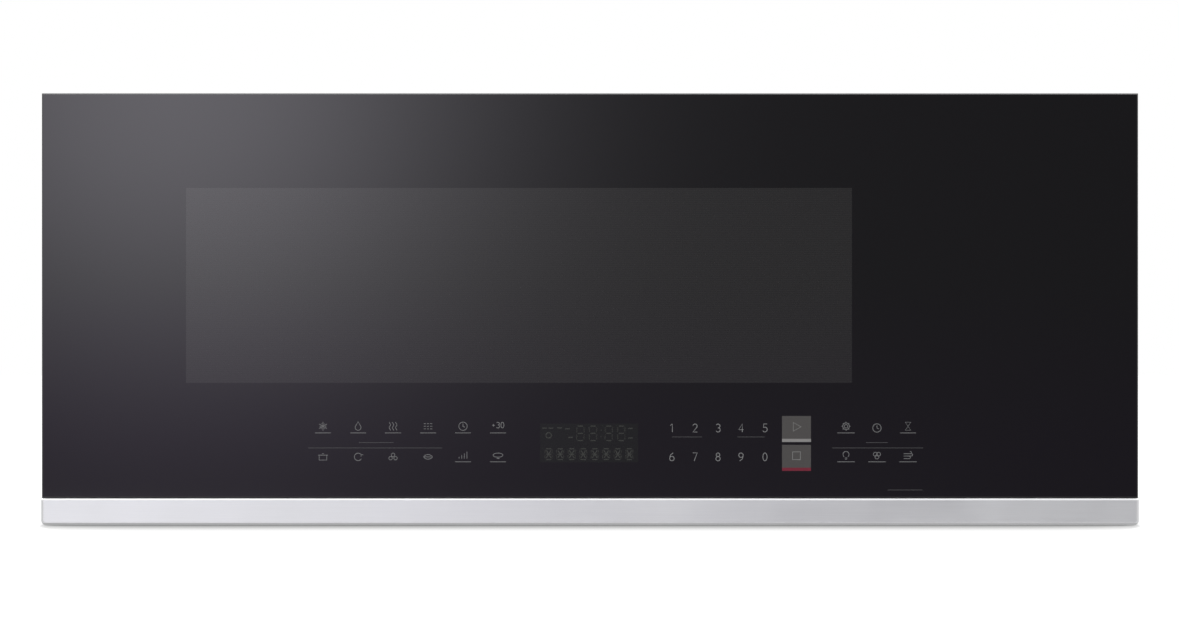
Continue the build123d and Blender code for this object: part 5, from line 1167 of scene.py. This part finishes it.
@dataclass
class TouchPanel:
    """Everything that is printed on the glass."""

    workshop: Workshop
    front: float = -460.02
    key_x: tuple[float, ...] = (-184.8, -160.5, -136.3, -112.1, -87.9, -63.7)
    key_z: Point = (67.1, 47.1)
    number_x: tuple[float, ...] = (56.7, 72.7, 88.6, 104.5, 121.1)
    vent_x: tuple[float, ...] = (177.2, 198.6, 220.1)
    short_bar: float = 11.0
    long_bar: float = 12.0
    bar_drop: float = 4.6
    picture_lift: float = 1.2
    picture_line: float = 0.55
    hairlines_xxz: tuple[Triple, ...] = (
        (-195.1, -102.4, 53.3), (56.7, 77.5, 60.9), (102.0, 121.1, 60.9), (167.5, 230.5, 53.3),
        (-160.0, -136.0, 57.0), (191.0, 206.0, 57.0), (206.0, 230.0, 24.2))
    hairline: float = 0.4
    number_line: float = 0.52
    half_minute_share: float = 0.72
    half_minute_lift: float = 2.0
    half_minute_drop: float = 3.4
    half_minute_line: float = 0.42
    tile_x: Point = (132.9, 152.9)
    tile_z: tuple[Point, ...] = ((57.4, 75.4), (37.4, 55.4))
    tile_off: Point = (0.06, 0.0)
    tile_foot: float = 2.2
    tile_foot_off: Point = (0.12, 0.02)
    tile_bevel: float = 0.02
    mark_lift: float = 1.5
    mark_line: float = 0.7
    mark_off: float = 0.08
    display_x: Point = (-34.6, 33.2)
    display_z: Point = (43.4, 70.1)
    display_rim: float = 2.0
    display_off: Point = (0.04, 0.0)
    display_bevel: float = 0.015
    digit_x: tuple[float, ...] = (-6.6, 2.1, 13.0, 21.7)
    digit_z: float = 63.4
    digit_size: Point = (5.0, 10.0)
    digit_gap: float = 0.7
    colon_x: float = 7.65
    colon_z: Point = (65.6, 61.2)
    colon_width: float = 0.5
    cells: int = 8
    cell_z: float = 49.0
    cell_size: Point = (4.8, 7.4)
    cell_gap: float = 0.6
    cross_half: Point = (1.6, 2.6)
    signs: tuple[Point, ...] = ((-31.5, 67.0), (-27.0, 67.0), (-21.0, 67.2), (-15.5, 66.5),
                                (-13.5, 60.6), (28.0, 66.8), (28.0, 60.2))
    sign_width: float = 3.2
    dial: Point = (-28.6, 62.0)
    dial_radius: float = 1.9
    display_line: float = 0.75

    def draw(self, name: str, lines: Sequence[Line], width: float, ink: bpy.types.Material,
             off: float = 0.0, slot: str = "door_plastic") -> None:
        """Prints lines.

        Args:
            name: the piece's name.
            lines: the lines.
            width: how wide they are.
            ink: what they are printed in.
            off: how far they stand off the panel's own plane.
            slot: the name of a material slot, handed on to the workshop.
        """
        piece = self.workshop.strokes(name, lines, width, self.front - off)
        self.workshop.finish(piece, ink, "door", slot)

    def fill(self, name: str, spans: tuple[Point, Point], off: Point, bevel: float,
             ink: bpy.types.Material, slot: str = "door_plastic") -> None:
        """Prints a filled rectangle.

        Args:
            name: the piece's name.
            spans: where it starts and ends in X and Z.
            off: how far its front and its back stand off the panel's own plane.
            bevel: how wide its bevels are.
            ink: what it is printed in.
            slot: the name of a material slot, handed on to the workshop.
        """
        depth = (self.front - off[0], self.front - off[1])
        piece = self.workshop.plate(name, (spans[0], depth, spans[1]), bevel)
        self.workshop.finish(piece, ink, "door", slot)

    def placed(self, picture: Picture, x: float, z: float, under: float) -> list[Line]:
        """Draws a picture on a key.

        Args:
            picture: the picture.
            x: the key's middle.
            z: the key's middle.
            under: the width of the bar under the picture, or 0 for none.

        Returns:
            The lines.
        """
        if not under:
            return moved(picture.lines(), x, z)
        lines = picture.lines() + [bar((0.0, -self.bar_drop), under)]
        return moved(lines, x, z + self.picture_lift)

    def keys(self, ink: bpy.types.Material) -> None:
        """Prints the pictures on the left and the right group of keys.

        Args:
            ink: what they are printed in.
        """
        bare, short, long = 0.0, self.short_bar, self.long_bar
        upper, lower = self.key_z
        rows = (
            (self.key_x, upper, ((Picture.FLAKE, short), (Picture.DROP, short),
                                 (Picture.STEAM, short), (Picture.TILES, short),
                                 (Picture.CLOCK, short))),
            (self.key_x, lower, ((Picture.POT, bare), (Picture.AGAIN, bare),
                                 (Picture.KERNELS, bare), (Picture.LEAF, bare),
                                 (Picture.LEVELS, short), (Picture.PLATTER, short))),
            (self.vent_x, upper, ((Picture.WHEEL, long), (Picture.CLOCK, bare),
                                  (Picture.GLASS_TIMER, short))),
            (self.vent_x, lower, ((Picture.LAMP, long), (Picture.BLADES, long),
                                  (Picture.GUST, long))))
        lines: list[Line] = []
        for places, z, row in rows:
            for x, (picture, under) in zip(places, row):
                lines += self.placed(picture, x, z, under)
        lines.append(bar((self.key_x[-1], upper - self.half_minute_drop), short))
        self.draw("key_pictures", lines, self.picture_line, ink)

    def hairlines(self, ink: bpy.types.Material) -> None:
        """Prints the hairlines that group the keys.

        Args:
            ink: what they are printed in.
        """
        lines = [[(start, z), (end, z)] for start, end, z in self.hairlines_xxz]
        self.draw("key_hairlines", lines, self.hairline, ink)

    def numbers(self, ink: bpy.types.Material) -> None:
        """Prints the ten number keys, and the figure on the half-minute key.

        Args:
            ink: what they are printed in.
        """
        lines: list[Line] = []
        for row, z in zip(("12345", "67890"), self.key_z):
            for mark, x in zip(row, self.number_x):
                lines += figures(mark, x, z)
        self.draw("number_keys", lines, self.number_line, ink)
        extra = figures("+30", self.key_x[-1], self.key_z[0] + self.half_minute_lift,
                        self.half_minute_share)
        self.draw("half_minute_key", extra, self.half_minute_line, ink)

    def tiles(self, tile: bpy.types.Material, edges: Sequence[bpy.types.Material],
              ink: bpy.types.Material) -> None:
        """Prints the two square keys that start and stop, with a triangle and a square on them.

        Args:
            tile: what the squares are printed in.
            edges: what the lines under them are printed in.
            ink: what the marks are printed in.
        """
        marks = ([(-2.2, 3.0), (3.2, 0.0), (-2.2, -3.0), (-2.2, 3.0)],
                 [(-2.7, 2.7), (2.7, 2.7), (2.7, -2.7), (-2.7, -2.7), (-2.7, 2.7)])
        middle = sum(self.tile_x) / 2
        lines: list[Line] = []
        for name, (low, high), edge, mark in zip(("start", "stop"), self.tile_z, edges, marks):
            foot = (self.tile_x, (low, low + self.tile_foot))
            self.fill(f"{name}_key", (self.tile_x, (low, high)), self.tile_off,
                      self.tile_bevel, tile)
            self.fill(f"{name}_key_line", foot, self.tile_foot_off, self.tile_bevel, edge)
            lines += moved([mark], middle, (low + high) / 2 + self.mark_lift)
        self.draw("start_stop_marks", lines, self.mark_line, ink, self.mark_off)

    def segments(self, x: float, z: float, size: Point, gap: float) -> list[Line]:
        """Draws the seven unlit bars of one figure on the display.

        Args:
            x: the figure's middle.
            z: the figure's middle.
            size: how wide and how tall the figure is.
            gap: how far the bars stay apart.

        Returns:
            The bars as lines.
        """
        half, tall = size[0] / 2, size[1] / 2
        lines = [bar((x, z + level), size[0] - 2 * gap) for level in (-tall, 0.0, tall)]
        for side in (-half, half):
            lines += [[(x + side, z + gap), (x + side, z + tall - gap)],
                      [(x + side, z - tall + gap), (x + side, z - gap)]]
        return lines

    def display(self, back: bpy.types.Material, ghost: bpy.types.Material) -> None:
        """Prints the display's field with its unlit figures, cells and small marks.

        Args:
            back: what the field is printed in.
            ghost: what the figures are printed in.
        """
        self.fill("display_field", (self.display_x, self.display_z), self.display_off,
                  self.display_bevel, back, "display_black")
        lines: list[Line] = []
        for x in self.digit_x:
            lines += self.segments(x, self.digit_z, self.digit_size, self.digit_gap)
        lines += [bar((self.colon_x, z), self.colon_width) for z in self.colon_z]
        start, end = self.display_x[0] + self.display_rim, self.display_x[1] - self.display_rim
        across, up = self.cross_half
        for index in range(self.cells):
            x = start + (index + 0.5) * (end - start) / self.cells
            lines += self.segments(x, self.cell_z, self.cell_size, self.cell_gap)
            lines += [[(x - across, self.cell_z - rise), (x + across, self.cell_z + rise)]
                      for rise in (up, -up)]
        lines += [bar(sign, self.sign_width) for sign in self.signs]
        lines.append(arc(self.dial, self.dial_radius))
        self.draw("display_figures", lines, self.display_line, ghost, self.display_off[0],
                  "display_black")

    def build(self) -> None:
        """Prints the whole panel."""
        inks = [Printed(*ink).material() for ink in (
            ("print_grey", (0.145, 0.145, 0.15)), ("print_faint", (0.05, 0.05, 0.053)),
            ("print_bright", (0.235, 0.235, 0.24)), ("key_tile", (0.082, 0.079, 0.074), 0.9),
            ("key_line_light", (0.27, 0.265, 0.258)), ("key_line_red", (0.19, 0.018, 0.035)),
            ("key_mark", (0.2, 0.2, 0.195)), ("display_back", (0.0042, 0.0058, 0.0036)),
            ("display_ghost", (0.011, 0.0128, 0.009)))]
        grey, faint, bright, tile, light, red, mark, back, ghost = inks
        self.keys(grey)
        self.hairlines(faint)
        self.numbers(bright)
        self.tiles(tile, (light, red), mark)
        self.display(back, ghost)
        log.info("touch panel: key pictures, numbers, start and stop keys, display")


# ---------------------------------------------------------------------------------------
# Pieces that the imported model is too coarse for
# ---------------------------------------------------------------------------------------


def islands(node: str, apart: float = 14.0) -> list[tuple[Vector, Vector]]:
    """Finds the separate pieces of a node.

    Args:
        node: the node's name.
        apart: how far two pieces are apart at least.

    Returns:
        The lowest and highest corner of each piece, in metres.
    """
    clusters: list[list[Vector]] = []
    for vertex in bpy.data.objects[node].data.vertices:
        point = vertex.co.copy()
        near = [cluster for cluster in clusters if (cluster[0] - point).length < apart * MM]
        if near:
            near[0].append(point)
        else:
            clusters.append([point])
    return [tuple(Vector([pick(point[axis] for point in cluster) for axis in range(3)])
                  for pick in (min, max)) for cluster in clusters]


@dataclass
class Screws:
    """Flanged screws with a domed hexagon head, in place of the model's plain ones."""

    workshop: Workshop
    steel: bpy.types.Material
    head: float = 3.3
    height: float = 1.6
    head_bevel: float = 0.25
    flange: float = 4.2
    flange_height: float = 0.5
    flange_bevel: float = 0.15
    flange_sides: int = 28

    def cylinder(self, radius: float, height: float, sides: int) -> None:
        """Adds a cylinder that stands on the origin.

        Args:
            radius: its radius.
            height: its height.
            sides: how many sides it has.
        """
        self.workshop.start()
        bpy.ops.mesh.primitive_cylinder_add(vertices=sides, radius=radius * MM, depth=height * MM,
                                            location=(0.0, 0.0, height / 2 * MM))

    def pattern(self) -> bpy.types.Object:
        """Makes one screw head.

        Returns:
            The head, whose underside lies at the origin and that points to +Z.
        """
        self.cylinder(self.flange, self.flange_height, self.flange_sides)
        flange = self.workshop.settle(bpy.context.object, "screw_flange")
        self.workshop.bevel(flange, self.flange_bevel)
        self.cylinder(self.head, self.height, 6)
        bpy.ops.object.mode_set(mode="EDIT")
        bpy.ops.mesh.select_all(action="SELECT")
        bpy.ops.mesh.bevel(offset=self.head_bevel * MM, segments=2)
        bpy.ops.object.mode_set(mode="OBJECT")
        head = self.workshop.settle(bpy.context.object, "screw_head")
        return self.workshop.join([flange, head])

    def place(self, low: Vector, high: Vector, upright: bool) -> Matrix:
        """Finds where a screw's head sits.

        Args:
            low: the lowest corner of the model's own screw.
            high: its highest corner.
            upright: whether the screw goes straight up, with its head below.

        Returns:
            The place of the head's underside.
        """
        middle = (low + high) / 2
        if upright:
            seat = low.z + self.height * MM
            return Matrix.Translation((middle.x, middle.y, seat)) @ Matrix.Rotation(pi, 4, "X")
        side = 1.0 if middle.x > 0 else -1.0
        seat = (high.x if side > 0 else low.x) - side * self.height * MM
        turn = Matrix.Rotation(side * pi / 2, 4, "Y")
        return Matrix.Translation((seat, middle.y, middle.z)) @ turn

    def build(self) -> None:
        """Puts a screw wherever the model has one, on the casing's sides and under the door."""
        for node, body in (("casing_screws", "root"), ("door_screws", "door")):
            places = [self.place(low, high, body == "door") for low, high in islands(node)]
            piece = self.workshop.copies(self.pattern(), places, f"{node}_fine")
            self.workshop.finish(piece, self.steel, body, "screw_steel")
            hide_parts(node)
        log.info("screws: flanged heads on the casing and the door")


@dataclass
class ExpandedMetal:
    """The mesh of expanded aluminium that shows in a grease filter."""

    workshop: Workshop
    node: str
    body: str
    frame: float = 9.0
    end_y: float = 119.0
    lift: float = 0.5
    diamond: float = 5.0
    stretch: float = 1.6
    strand: float = 0.8
    spare: float = 1.5

    def build(self, metal: bpy.types.Material) -> None:
        """Makes the mesh from a grid that is turned, stretched, trimmed and thickened.

        Args:
            metal: what it is dressed in.
        """
        low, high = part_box(self.node)
        x = (low[0] + self.frame * MM, high[0] - self.frame * MM)
        y = (low[1] + self.frame * MM, low[1] + self.end_y * MM)
        middle = Vector((sum(x) / 2, sum(y) / 2, low[2] + self.lift * MM))
        side = self.diamond / sqrt(2.0) * MM
        count = int(self.spare * max((x[1] - x[0]) / self.stretch, y[1] - y[0]) / side)
        self.workshop.start()
        bpy.ops.mesh.primitive_grid_add(x_subdivisions=count, y_subdivisions=count,
                                        size=count * side)
        piece = bpy.context.object
        turn = Matrix.Diagonal((self.stretch, 1.0, 1.0, 1.0)) @ Matrix.Rotation(pi / 4, 4, "Z")
        piece.data.transform(Matrix.Translation(middle) @ turn)
        bpy.ops.object.mode_set(mode="EDIT")
        for point, normal in (((x[0], 0, 0), (-1, 0, 0)), ((x[1], 0, 0), (1, 0, 0)),
                              ((0, y[0], 0), (0, -1, 0)), ((0, y[1], 0), (0, 1, 0))):
            bpy.ops.mesh.select_all(action="SELECT")
            bpy.ops.mesh.bisect(plane_co=point, plane_no=normal, clear_outer=True)
        bpy.ops.object.mode_set(mode="OBJECT")
        piece = self.workshop.settle(piece, f"{self.body}_mesh")
        self.workshop.modify(piece, "WIREFRAME", thickness=self.strand * MM,
                             use_even_offset=False)
        self.workshop.finish(piece, metal, self.body, "filter_aluminium")
        log.info("%s: expanded metal of %d facets", self.body, len(piece.data.polygons))


@dataclass
class Turntable:
    """The tray, the ring and its rollers with their round shapes, in place of those with flats."""

    workshop: Workshop
    plate: float = 5.0
    bead: float = 0.6
    lug_foot: float = 5.0
    lug_circle: float = 24.0
    ring_outer: float = 98.0
    ring_inner: float = 88.0
    ring_half: float = 2.0
    ring_bevel: float = 0.6
    arm_root: float = 4.0
    arm_half: float = 4.0
    arm_bevel: float = 0.5
    track: float = 106.0
    roller_radius: float = 8.5
    roller_half: float = 3.5
    axle: float = 2.5
    head: float = 4.0
    head_length: float = 1.5
    gap: float = 0.3
    count: int = 3
    large_sides: int = 128
    roller_sides: int = 64
    small_sides: int = 32

    def centre(self, node: str) -> Vector:
        """The middle of a node's box, in metres."""
        low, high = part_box(node)
        return (Vector(low) + Vector(high)) / 2

    def hub(self) -> Matrix:
        """The turntable's axis, at the height of the rollers' axes."""
        tray = self.centre("glass_tray")
        return Matrix.Translation((tray.x, tray.y, self.centre("roller_ring").z))

    def turn(self, index: int) -> Matrix:
        """The turn around the turntable's axis to one of the rollers."""
        return Matrix.Rotation(radians(90.0 + index * 360.0 / self.count), 4, "Z")

    def replace(self, piece: bpy.types.Object, material: bpy.types.Material, body: str,
                slot: str, node: str) -> None:
        """Puts a piece in the place of a node.

        Args:
            piece: the piece.
            material: what it is dressed in.
            body: the body that it moves with.
            slot: the name of a material slot, handed on to the workshop.
            node: the node that it replaces.
        """
        self.workshop.finish(piece, material, body, slot)
        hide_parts(node)

    def tray(self, glass: bpy.types.Material) -> None:
        """Makes the tray: a rolled rim, two raised rings on its plate and three lugs below.

        Args:
            glass: what it is dressed in.
        """
        top, ring = self.plate, self.plate + self.bead
        profile = [(0.5, 0.0), (133.0, 0.0), (136.5, 0.25), (139.0, 1.0), (148.2, 11.0),
                   (149.6, 12.2), (150.0, 12.7), (149.7, 13.0), (146.9, 13.0), (145.8, 12.4),
                   (138.2, top + 0.9), (136.8, top + 0.2), (135.0, top), (111.0, top),
                   (110.2, ring), (107.8, ring), (107.0, top), (61.0, top), (60.2, ring),
                   (57.8, ring), (57.0, top), (0.5, top)]
        foot = [(3.8, -self.lug_foot), (4.6, -4.5), (4.9, -3.6), (5.0, 0.0)]
        pieces = [self.workshop.lathe("tray_turned", profile, self.large_sides)]
        for index in range(self.count):
            angle = radians((index + 0.5) * 360.0 / self.count)
            reach = self.lug_circle * MM
            lug = self.workshop.lathe("tray_lug", foot, self.small_sides)
            lug.data.transform(Matrix.Translation((reach * cos(angle), reach * sin(angle), 0.0)))
            pieces.append(lug)
        piece = self.workshop.join(pieces)
        middle, (low, _) = self.centre("glass_tray"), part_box("glass_tray")
        lift = low[2] + self.lug_foot * MM
        piece.data.transform(Matrix.Translation((middle.x, middle.y, lift)))
        self.workshop.settle(piece, "tray_fine")
        self.replace(piece, glass, "turntable", "tray_glass", "glass_tray")

    def ring(self, plastic: bpy.types.Material) -> None:
        """Makes the ring with its three arms, stub axles and their heads.

        Args:
            plastic: what it is dressed in.
        """
        half, edge, lathe = self.ring_half, self.ring_bevel, self.workshop.lathe
        near, far = self.ring_inner, self.ring_outer
        profile = [(near + edge, -half), (far - edge, -half), (far, edge - half),
                   (far, half - edge), (far - edge, half), (near + edge, half),
                   (near, half - edge), (near, edge - half)]
        pieces = [lathe("ring_turned", profile, self.large_sides, closed=True)]
        start = self.track - self.roller_half - self.gap
        seat = self.track + self.roller_half + self.gap
        end = seat + self.head_length
        spans = ((far - self.arm_root, start), (-self.arm_half, self.arm_half), (-half, half))
        pin = [(self.axle, start - 1.0), (self.axle, seat + 0.1)]
        button = [(self.head - 0.3, seat), (self.head, seat + 0.3), (self.head, end - 0.5),
                  (self.head - 0.5, end)]
        for index in range(self.count):
            arm = self.workshop.plate("ring_arm", spans, self.arm_bevel)
            stub = self.workshop.join([lathe("ring_axle", pin, self.small_sides),
                                       lathe("ring_head", button, self.small_sides)])
            stub.data.transform(Matrix.Rotation(pi / 2, 4, "Y"))
            part = self.workshop.join([arm, stub])
            part.data.transform(self.turn(index))
            pieces.append(part)
        piece = self.workshop.join(pieces)
        piece.data.transform(self.hub())
        self.workshop.settle(piece, "ring_fine")
        self.replace(piece, plastic, "roller_ring", "white_plastic", "roller_ring")

    def rollers(self, plastic: bpy.types.Material) -> None:
        """Makes the three rollers, each with a recess in its sides and rounded edges.

        Args:
            plastic: what they are dressed in.
        """
        radius, half = self.roller_radius, self.roller_half
        side = [(self.axle + 0.05, -half), (4.0, -half), (4.3, 0.8 - half), (7.0, 0.8 - half),
                (7.3, -half), (radius - 0.5, -half), (radius, 0.5 - half)]
        profile = side + [(ring, -height) for ring, height in reversed(side)]
        across = Matrix.Translation((self.track * MM, 0.0, 0.0)) @ Matrix.Rotation(pi / 2, 4, "Y")
        for index in range(self.count):
            name = f"roller_{index + 1}"
            piece = self.workshop.lathe(f"{name}_fine", profile, self.roller_sides, closed=True)
            piece.data.transform(self.hub() @ self.turn(index) @ across)
            self.replace(piece, plastic, name, "white_plastic", name)

    def build(self, glass: bpy.types.Material, plastic: bpy.types.Material) -> None:
        """Makes all five pieces.

        Args:
            glass: what the tray is dressed in.
            plastic: what the ring and the rollers are dressed in.
        """
        self.tray(glass)
        self.ring(plastic)
        self.rollers(plastic)
        log.info("turntable: tray, ring and three rollers")


# ---------------------------------------------------------------------------------------
# The whole oven
# ---------------------------------------------------------------------------------------


@dataclass
class Oven:
    """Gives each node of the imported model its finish."""

    nodes: dict[str, bpy.types.Object]

    def dress(self, look: Look, *names: str) -> None:
        """Puts a look on nodes.

        Args:
            look: the look.
            names: the nodes' names.
        """
        material = look.material()
        for name in names:
            mesh = self.nodes[name].data
            mesh.materials.clear()
            mesh.materials.append(material)

    def door(self) -> None:
        """Dresses the door's outside, its frame and its inner side."""
        self.dress(DoorGlass(), "door_glass")
        # the trim gets a painted highlight on its upper edge and painted shade on its lower edge
        self.dress(EdgedSteel("brushed_trim", (0.6, 0.605, 0.615), 0.36, Grain.BRUSHED, 1.0),
                   "door_trim")
        self.dress(Finish("door_frame_plastic", (0.03, 0.03, 0.032), 0.5, Grain.MOULDED),
                   "door_frame", "choke_cover", "interlock_switches")
        self.dress(Perforated("screen_enamel", (0.055, 0.055, 0.06), (-332.0, 234.0),
                              (50.0, 241.0)), "choke_plate")
        self.dress(ClearGlass("inner_pane", (0.93, 0.95, 0.95)), "inner_window")
        self.dress(Finish("display_housing", (0.014, 0.015, 0.017), 0.25, Grain.MOULDED),
                   "display_module")
        self.dress(Finish("acetal", (0.72, 0.72, 0.69), 0.35, Grain.MOULDED),
                   "latch_lever", "switch_plungers", "hinge_bushes")
        self.dress(Finish("spring_steel", (0.5, 0.5, 0.52), 0.3, Grain.ROLLED, 1.0),
                   "latch_spring")
        log.info("door: glass, trim, frame, screen, latch")

    def casing(self) -> None:
        """Dresses the sheet-metal casing and what is set into it."""
        self.dress(Finish("case_paint", (0.06, 0.06, 0.064), 0.42, Grain.PAINTED),
                   "left_side_panel", "right_side_panel", "base_plate")
        self.dress(Finish("galvanised_sheet", (0.43, 0.445, 0.455), 0.46, Grain.SPANGLED, 1.0),
                   "top_plate", "back_panel", "lower_hinge_bracket", "upper_hinge_bracket",
                   "blower_housing", "waveguide")
        self.dress(Finish("grille_plastic", (0.026, 0.026, 0.028), 0.48, Grain.MOULDED),
                   "exhaust_grille")
        self.dress(Finish("charcoal_grains", (0.022, 0.022, 0.022), 0.8, Grain.GRANULAR),
                   "charcoal_filter")
        self.dress(Finish("black_rubber", (0.024, 0.024, 0.024), 0.65, Grain.MOULDED),
                   "cord_bushing")
        self.dress(Finish("zinc_plate", (0.5, 0.51, 0.52), 0.33, Grain.ROLLED, 1.0),
                   "weld_nuts", "casing_screws", "door_screws")
        # the filters' aluminium has painted shade inside their frames
        self.dress(FilterMetal("filter_aluminium", (0.6, 0.61, 0.62), 0.38, Grain.ROLLED, 1.0),
                   "left_grease_filter", "right_grease_filter", "cooktop_lamps")
        self.dress(Finish("lamp_lens", (0.82, 0.84, 0.82), 0.32, Grain.RIDGED, see_through=0.7),
                   "left_lamp_cover", "right_lamp_cover")
        log.info("casing: sheets, grille, filters, lamps")

    def cavity(self) -> None:
        """Dresses the cavity, its lamp and its feed cover."""
        self.dress(Finish("cavity_enamel", (0.44, 0.445, 0.445), 0.3, Grain.ENAMELLED, coat=0.25),
                   "front_plate", "cavity_floor", "cavity_ceiling", "cavity_left_wall",
                   "cavity_right_wall", "cavity_rear_wall")
        self.dress(ClearGlass("lamp_window", (0.9, 0.9, 0.86), 0.25), "cavity_lamp")
        self.dress(Finish("mica_sheet", (0.6, 0.56, 0.47), 0.45, Grain.ENAMELLED),
                   "waveguide_cover")
        self.dress(ClearGlass("tray_glass", (0.9, 0.95, 0.94)), "glass_tray")
        self.dress(Finish("white_plastic", (0.72, 0.72, 0.7), 0.4, Grain.MOULDED),
                   "drive_coupler", "roller_ring", "roller_1", "roller_2", "roller_3")
        log.info("cavity: enamel, lamp, feed cover, turntable")

    def machinery(self) -> None:
        """Dresses the blower, the fan, the magnetron, the motors and the boards."""
        self.dress(Finish("fan_plastic", (0.15, 0.15, 0.16), 0.45, Grain.MOULDED),
                   "left_blower_wheel", "right_blower_wheel", "fan_shroud", "fan_blade")
        self.dress(Finish("motor_steel", (0.38, 0.39, 0.4), 0.4, Grain.ROLLED, 1.0),
                   "blower_motor", "blower_shaft", "turntable_motor")
        self.dress(Finish("motor_stack", (0.3, 0.31, 0.33), 0.45, Grain.LAMINATED, 1.0),
                   "fan_motor")
        self.dress(Finish("magnetron_metal", (0.42, 0.42, 0.43), 0.42, Grain.ROLLED, 1.0),
                   "magnetron")
        self.dress(Finish("latch_plastic", (0.4, 0.4, 0.385), 0.42, Grain.MOULDED),
                   "latch_board")
        self.dress(CircuitBoard("inverter_mask", 2, (9.95, 11.65), (321.0, 362.0),
                                (-321.0, -249.0)), "inverter_board")
        self.dress(CircuitBoard("main_mask", 0, (370.35, 372.05)), "main_board")
        self.dress(CircuitBoard("noise_mask", 2, (290.65, 292.35)), "noise_filter")
        self.dress(CircuitBoard("touch_mask", 1, (-456.05, -454.35)), "touch_board")
        log.info("machinery: blower, fan, magnetron, motors, boards")

    def build(self) -> None:
        """Dresses every node."""
        self.door()
        self.casing()
        self.cavity()
        self.machinery()
        bare = [name for name, node in self.nodes.items() if not node.data.materials[0].use_nodes]
        log.info("nodes without a finish: %s", bare)


def main() -> None:
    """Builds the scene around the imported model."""
    logging.basicConfig(level=logging.INFO, format="%(name)s: %(message)s")
    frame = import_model()
    workshop = Workshop()
    Studio().build(workshop)
    Oven(frame["nodes"]).build()
    TouchPanel(workshop).build()
    steel = Finish("screw_zinc", (0.5, 0.51, 0.52), 0.3, Grain.ROLLED, 1.0)
    Screws(workshop, steel.material()).build()
    glass = ClearGlass("tray_clear", (0.9, 0.95, 0.94))
    plastic = Finish("roller_plastic", (0.74, 0.74, 0.72), 0.38, Grain.MOULDED)
    Turntable(workshop).build(glass.material(), plastic.material())
    strands = Finish("filter_strands", (0.7, 0.71, 0.72), 0.3, Grain.ROLLED, 1.0).material()
    for side in ("left", "right"):
        ExpandedMetal(workshop, f"{side}_grease_filter", f"{side}_filter").build(strands)


if __name__ == "__main__":
    main()
